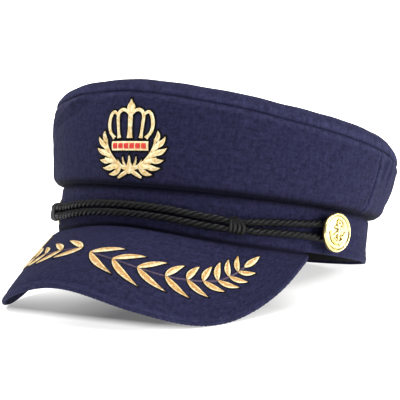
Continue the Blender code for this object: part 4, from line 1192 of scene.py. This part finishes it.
class Nodes:
    """A short way to write a material's nodes."""

    def __init__(self, name):
        self.material = bpy.data.materials.new(name)
        self.material.use_nodes = True
        self.tree = self.material.node_tree
        self.shader = self.tree.nodes["Principled BSDF"]

    def feed(self, socket, value):
        """Links a socket's value, or sets it when the value is a constant."""
        if isinstance(value, bpy.types.NodeSocket):
            self.tree.links.new(value, socket)
        else:
            socket.default_value = value

    def made(self, kind, inputs, output=0, **values):
        """One output of a new node, whose inputs are fed by name or number."""
        node = self.tree.nodes.new(kind)
        for key, value in values.items():
            setattr(node, key, value)
        for key, value in inputs.items():
            self.feed(node.inputs[key], value)
        return node.outputs[output]

    def math(self, operation, a, b=0.0):
        return self.made("ShaderNodeMath", {0: a, 1: b}, operation=operation)

    def times(self, a, b):
        return self.math("MULTIPLY", a, b)

    def plus(self, first, *others):
        for other in others:
            first = self.math("ADD", first, other)
        return first

    def place(self):
        return self.made("ShaderNodeTexCoord", {}, "Object")

    def tone(self):
        return self.made("ShaderNodeAttribute", {}, "Fac", attribute_name="tone")

    def axes(self, vector):
        """The first two axes of a place."""
        first = self.made("ShaderNodeSeparateXYZ", {0: vector})
        return first, first.node.outputs[1]

    def map_axes(self):
        return self.axes(self.made("ShaderNodeUVMap", {}, uv_map="cloth_map"))

    def stretched(self, u, v, along_u, along_v):
        """The map, stretched by its own scale each way, as a place for a noise."""
        return self.made("ShaderNodeCombineXYZ", {0: self.times(u, along_u), 1: self.times(v, along_v)})

    def noise(self, scale, detail=2.0, roughness=0.5, vector=None):
        inputs = {"Scale": scale, "Detail": detail, "Roughness": roughness, "Vector": vector or self.place()}
        return self.made("ShaderNodeTexNoise", inputs, "Fac")

    def ramp(self, value, low, high):
        return self.made("ShaderNodeMapRange", {"Value": value, "From Min": low, "From Max": high})

    def mix(self, share, first, second):
        first, second = (colour if isinstance(colour, bpy.types.NodeSocket) else (*colour, 1.0)
                         for colour in (first, second))
        return self.made("ShaderNodeMix", {0: share, 6: first, 7: second}, 2, data_type="RGBA")

    def set(self, **values):
        for key, value in values.items():
            self.feed(self.shader.inputs[key.replace("_", " ")], value)

    def raise_by(self, height, distance, strength):
        inputs = {"Height": height, "Distance": distance, "Strength": strength}
        self.set(Normal=self.made("ShaderNodeBump", inputs))

    def threads(self, axis, pitch):
        """Rows of round threads along one axis of the map: 0 between them and 1 on them."""
        return self.math("ABSOLUTE", self.math("SINE", self.times(axis, math.pi / pitch)))


def navy_cloth():
    """A brushed cotton twill: fine slanting ribs, paler flecks of lint, and a faint sheen."""
    nodes = Nodes("navy_cloth_twill")
    u, v = nodes.map_axes()
    rib = nodes.threads(nodes.plus(u, nodes.times(v, 0.8)), 0.00062)
    thread = nodes.threads(v, 0.00045)
    fuzz = nodes.noise(2400, 3.0, 0.7)
    weft = nodes.noise(1.0, 3.0, 0.6, nodes.stretched(u, v, 210, 470))
    warp = nodes.noise(1.0, 3.0, 0.6, nodes.stretched(u, v, 470, 210))
    slub = nodes.plus(nodes.ramp(weft, 0.38, 0.62), nodes.ramp(warp, 0.38, 0.62))
    fleck = nodes.ramp(nodes.noise(850, 4.0, 0.75), 0.52, 0.72)
    cloud = nodes.ramp(nodes.noise(38, 3.0, 0.55), 0.32, 0.72)
    base = nodes.mix(nodes.times(slub, 0.5), (0.0062, 0.0060, 0.0210), (0.0215, 0.0215, 0.0610))
    base = nodes.mix(nodes.times(cloud, 0.30), base, (0.0170, 0.0170, 0.050))
    base = nodes.mix(nodes.times(fleck, 0.45), base, (0.044, 0.046, 0.104))
    base = nodes.mix(nodes.ramp(rib, 0.0, 0.5), (0.010, 0.010, 0.031), base)
    tone = nodes.tone()
    # Where the tone is above 0 the cloth is lighter: wear along its seams and edges, and a painted highlight
    # along the crown's rim.
    wear_and_highlight = nodes.times(nodes.ramp(tone, 0.0, 1.0), nodes.ramp(nodes.noise(420, 3.0), 0.3, 0.7))
    base = nodes.mix(nodes.times(wear_and_highlight, 0.40), base, (0.066, 0.070, 0.150))
    # Where the tone is below 0 the cloth is darkened by painted shade, in its creases and seams.
    painted_shade = nodes.times(nodes.ramp(tone, 0.0, -1.0), 0.95)
    base = nodes.mix(painted_shade, base, (0.003, 0.003, 0.009))
    nodes.set(Base_Color=base, Roughness=nodes.plus(0.82, nodes.times(cloud, 0.12)), Specular_IOR_Level=0.08,
              Sheen_Weight=0.02, Sheen_Roughness=0.35, Sheen_Tint=(0.36, 0.46, 1.0, 1.0))
    nodes.raise_by(nodes.plus(nodes.times(rib, 0.5), nodes.times(thread, 0.25), nodes.times(fuzz, 0.7),
                              nodes.times(slub, 1.1)), 0.00022, 0.9)
    return nodes.material


def ribbed_ribbon():
    """A black grosgrain ribbon: fine upright ribs with a dull shine."""
    nodes = Nodes("black_ribbon")
    u, v = nodes.map_axes()
    rib = nodes.threads(u, 0.0011)
    fine = nodes.threads(v, 0.00035)
    dust = nodes.ramp(nodes.noise(900, 4.0, 0.7), 0.55, 0.8)
    base = nodes.mix(rib, (0.0018, 0.0018, 0.0024), (0.0060, 0.0060, 0.0080))
    base = nodes.mix(nodes.times(dust, 0.3), base, (0.05, 0.05, 0.06))
    nodes.set(Base_Color=base, Roughness=nodes.plus(0.5, nodes.times(dust, 0.25)), Specular_IOR_Level=0.2)
    nodes.raise_by(nodes.plus(rib, nodes.times(fine, 0.3)), 0.00025, 0.8)
    return nodes.material


def twisted_yarn():
    """Black glossy yarn: fine fibres along each strand, grey where they catch the light."""
    nodes = Nodes("black_yarn")
    u, v = nodes.map_axes()
    fibre = nodes.threads(nodes.plus(v, nodes.times(u, 0.55)), 0.00034)
    stray = nodes.ramp(nodes.noise(1800, 3.0, 0.7), 0.5, 0.8)
    base = nodes.mix(fibre, (0.0008, 0.0008, 0.0010), (0.0045, 0.0045, 0.0052))
    base = nodes.mix(nodes.times(stray, 0.35), base, (0.022, 0.022, 0.026))
    nodes.set(Base_Color=base, Roughness=nodes.plus(0.30, nodes.times(stray, 0.3)), Specular_IOR_Level=0.21)
    nodes.raise_by(fibre, 0.00012, 0.9)
    return nodes.material


def satin_thread(name, light, main, deep, roughness):
    """Shiny embroidery thread laid side by side: patches of a painted highlight at random, and painted shade
    in a deep colour along the middle of a leaf and in the gaps between the threads.
    """
    nodes = Nodes(name)
    u, v = nodes.map_axes()
    strand = nodes.threads(nodes.plus(u, nodes.times(nodes.math("ABSOLUTE", v), 0.5)), THREAD_PITCH)
    # Painted highlight: patches of the light colour.
    patch = nodes.ramp(nodes.noise(430, 3.0, 0.6), 0.38, 0.56)
    base = nodes.mix(nodes.times(patch, 0.9), main, light)
    # Painted shade: the deep colour along the middle of a leaf, and between the threads below.
    core = nodes.times(nodes.tone(), nodes.ramp(nodes.noise(1100, 2.0, 0.6), 0.26, 0.54))
    base = nodes.mix(nodes.ramp(core, 0.08, 0.66), base, deep)
    base = nodes.mix(nodes.ramp(strand, -0.1, 0.5), deep, base)
    rough = nodes.plus(roughness, nodes.times(patch, 0.12))
    nodes.set(Base_Color=base, Roughness=rough, Specular_IOR_Level=0.4)
    nodes.raise_by(strand, 0.00010, 0.6)
    return nodes.material


def dark_thread(name, colour, paler):
    """Dull thread with a little lint on it."""
    nodes = Nodes(name)
    strand = nodes.threads(nodes.map_axes()[0], 0.0004)
    base = nodes.mix(nodes.ramp(nodes.noise(1400, 3.0), 0.45, 0.75), colour, paler)
    nodes.set(Base_Color=base, Roughness=nodes.plus(0.6, nodes.times(strand, 0.2)), Specular_IOR_Level=0.08)
    nodes.raise_by(strand, 0.0001, 0.7)
    return nodes.material


def stamped_gold():
    """Bright stamped brass, duller down in its relief, and darker there and on its back by painted shade."""
    nodes = Nodes("stamped_gold")
    # Painted shade: the tone darkens the relief's hollows and the button's back.
    low = nodes.ramp(nodes.tone(), 0.25, 0.95)
    smear = nodes.ramp(nodes.noise(620, 4.0, 0.6), 0.35, 0.75)
    base = nodes.mix(nodes.times(smear, 0.5), (0.90, 0.74, 0.30), (0.95, 0.84, 0.44))
    base = nodes.mix(low, base, (0.060, 0.035, 0.012))
    rough = nodes.plus(0.16, nodes.times(low, 0.35), nodes.times(smear, 0.08))
    nodes.set(Base_Color=base, Roughness=rough, Metallic=1.0)
    nodes.raise_by(nodes.noise(2600, 2.0), 0.00004, 0.5)
    return nodes.material


# The floor's glow, which paints the cap's shadow: along which axis of the floor it grows, from where to
# where, and how much
FLOOR_GLOW = (
    ("across", 0.005, -0.035, 0.22),
    ("across", 0.04, 0.08, 0.50),
    ("along", -0.098, -0.114, 0.70),
    ("along", -0.03, 0.02, 0.50),
    ("away", 0.3, 1.6, 0.36),
)


def floor_paper():
    """Pale paper. Its faint glow, set by place, keeps the cap's shadow as soft as in the photo."""
    nodes = Nodes("floor_paper")
    base = nodes.mix(nodes.noise(3.0, 2.0), (0.58, 0.58, 0.575), (0.60, 0.60, 0.595))
    away = nodes.made("ShaderNodeVectorMath", {0: nodes.place()}, 1, operation="LENGTH")
    across, along = nodes.axes(nodes.place())
    # Painted shadow: the glow is set by place. It is weakest near the front of the peak, where the cap's
    # shadow is darkest, and stronger under the peak's tip, behind the cap and far away.
    under_tip = nodes.times(nodes.ramp(across, -0.030, -0.085), nodes.ramp(along, -0.098, -0.050))
    glow = nodes.plus(0.14, nodes.times(under_tip, 0.70))
    for distance, start, end, gain in FLOOR_GLOW:
        axis = {"across": across, "along": along, "away": away}[distance]
        glow = nodes.plus(glow, nodes.times(nodes.ramp(axis, start, end), gain))
    nodes.set(Base_Color=base, Emission_Strength=glow, Emission_Color=(1.0, 0.995, 0.985, 1.0),
              Roughness=0.9, Specular_IOR_Level=0.1)
    return nodes.material


# Colours of the threads: a painted highlight, the main colour and a painted shade, or plain and paler
PALE_GOLD = ((1.0, 0.93, 0.62), (0.76, 0.55, 0.22), (0.42, 0.21, 0.045))
RED = ((0.74, 0.050, 0.030), (0.60, 0.018, 0.012), (0.30, 0.006, 0.004))
BLACK = ((0.0015, 0.0015, 0.003), (0.006, 0.006, 0.010))
VIOLET = ((0.060, 0.045, 0.075), (0.180, 0.130, 0.160))


# Camera, floor and light

IMAGE_SIDE = 400
FOCAL_PIXELS = 1865.461
CENTRE_PIXEL = (218.409, 183.321)
CAMERA_AZIMUTH = 32.915
CAMERA_ELEVATION = -4.14
CAMERA_ROLL = 6.115
CAMERA_DISTANCE = 1.13795
CAMERA_TARGET = (0.0, 0.0, 0.040)
SENSOR_WIDTH = 36.0


def make_camera():
    """The photograph's view of the cap. The angles are about the cap's own frame."""
    azimuth, elevation, roll = map(math.radians, (CAMERA_AZIMUTH, CAMERA_ELEVATION, CAMERA_ROLL))
    back = np.array((math.sin(azimuth) * math.cos(elevation), -math.cos(azimuth) * math.cos(elevation),
                     math.sin(elevation)))
    right = np.array((math.cos(azimuth), math.sin(azimuth), 0.0))
    up = np.cross(back, right)
    right, up = (math.cos(roll) * right + math.sin(roll) * up, -math.sin(roll) * right + math.cos(roll) * up)
    place = laid_down(np.array(CAMERA_TARGET) + back * CAMERA_DISTANCE)
    axes = np.stack([right, up, back]) @ REST_AXES
    data = bpy.data.cameras.new("camera")
    data.sensor_fit = "HORIZONTAL"
    data.sensor_width = SENSOR_WIDTH
    data.lens = FOCAL_PIXELS * SENSOR_WIDTH / IMAGE_SIDE
    data.shift_x = (IMAGE_SIDE / 2 - CENTRE_PIXEL[0]) / IMAGE_SIDE
    data.shift_y = (CENTRE_PIXEL[1] - IMAGE_SIDE / 2) / IMAGE_SIDE
    data.clip_start = 0.01
    data.clip_end = 100
    camera = placed("camera", data)
    camera.matrix_world = Matrix([[*axes[:, row], place[row]] for row in range(3)] + [[0, 0, 0, 1]])
    bpy.context.scene.camera = camera


LAMPS = table(
    "name place size power",
    ("overhead", (-0.1, -0.3, 2.0), 2.4, 42.0),
    ("left_softbox", (-1.1, -0.7, 2.0), 1.0, 23.0),
    ("right_softbox", (1.8, 0.6, 0.45), 1.0, 41.0),
    ("back_softbox", (-0.5, 1.0, 1.7), 1.2, 10.0),
)
LAMP_TARGET = (0.0, 0.0, 0.06)
FLOOR_REACH = 40.0
WORLD_STRENGTH = 0.40


def make_studio():
    mesh = bpy.data.meshes.new("floor")
    side = FLOOR_REACH
    corners = [(-side, -side, 0), (side, -side, 0), (side, side, 0), (-side, side, 0)]
    mesh.from_pydata(corners, [], [(0, 1, 2, 3)])
    mesh.materials.append(floor_paper())
    placed("floor", mesh)
    world = bpy.data.worlds.new("studio")
    world.use_nodes = True
    backdrop = world.node_tree.nodes["Background"].inputs
    backdrop["Color"].default_value = (1.0, 1.0, 1.0, 1.0)
    backdrop["Strength"].default_value = WORLD_STRENGTH
    bpy.context.scene.world = world
    for lamp in LAMPS:
        data = bpy.data.lights.new(lamp["name"], "AREA")
        data.shape = "DISK"
        data.size = lamp["size"]
        data.energy = lamp["power"]
        thing = placed(lamp["name"], data)
        thing.location = lamp["place"]
        aim = Vector(LAMP_TARGET) - Vector(lamp["place"])
        thing.rotation_euler = aim.to_track_quat("-Z", "Y").to_euler()
    bpy.context.scene.view_settings.view_transform = "Standard"


def main():
    make_camera()
    make_studio()
    cloth = navy_cloth()
    make_side_panel("crown_side_front_cloth", -PANEL_SEAM_TURN, PANEL_SEAM_TURN, "crown_side_front", cloth)
    make_side_panel("crown_side_back_cloth", PANEL_SEAM_TURN, 360 - PANEL_SEAM_TURN, "crown_side_back", cloth)
    make_top_panel(cloth)
    make_headband(cloth)
    make_sweatband(ribbed_ribbon())
    make_peak(cloth)
    yarn = twisted_yarn()
    make_cord(yarn)
    hands = (("left", 1), ("right", -1))
    for hand, side in hands:
        make_knot(f"knot_{hand}_wraps", side, f"knot_{hand}", yarn)
    gold = stamped_gold()
    for hand, side in hands:
        make_button(f"button_{hand}_face", side, f"button_{hand}", gold)
    pale_gold = satin_thread("pale_gold_thread", *PALE_GOLD, 0.34)
    red = satin_thread("red_thread", *RED, 0.45)
    black = dark_thread("black_thread", *BLACK)
    violet = dark_thread("violet_thread", *VIOLET)
    make_badge(pale_gold, black, red)
    edging = Form()
    stems = Form()
    for hand, side in hands:
        make_branch(f"peak_branch_{hand}_stitches", side, f"peak_branch_{hand}", pale_gold, edging, stems)
    add_piece("peak_branch_edging", edging, black)
    add_piece("peak_branch_stems", stems, violet)
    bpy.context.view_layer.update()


main()
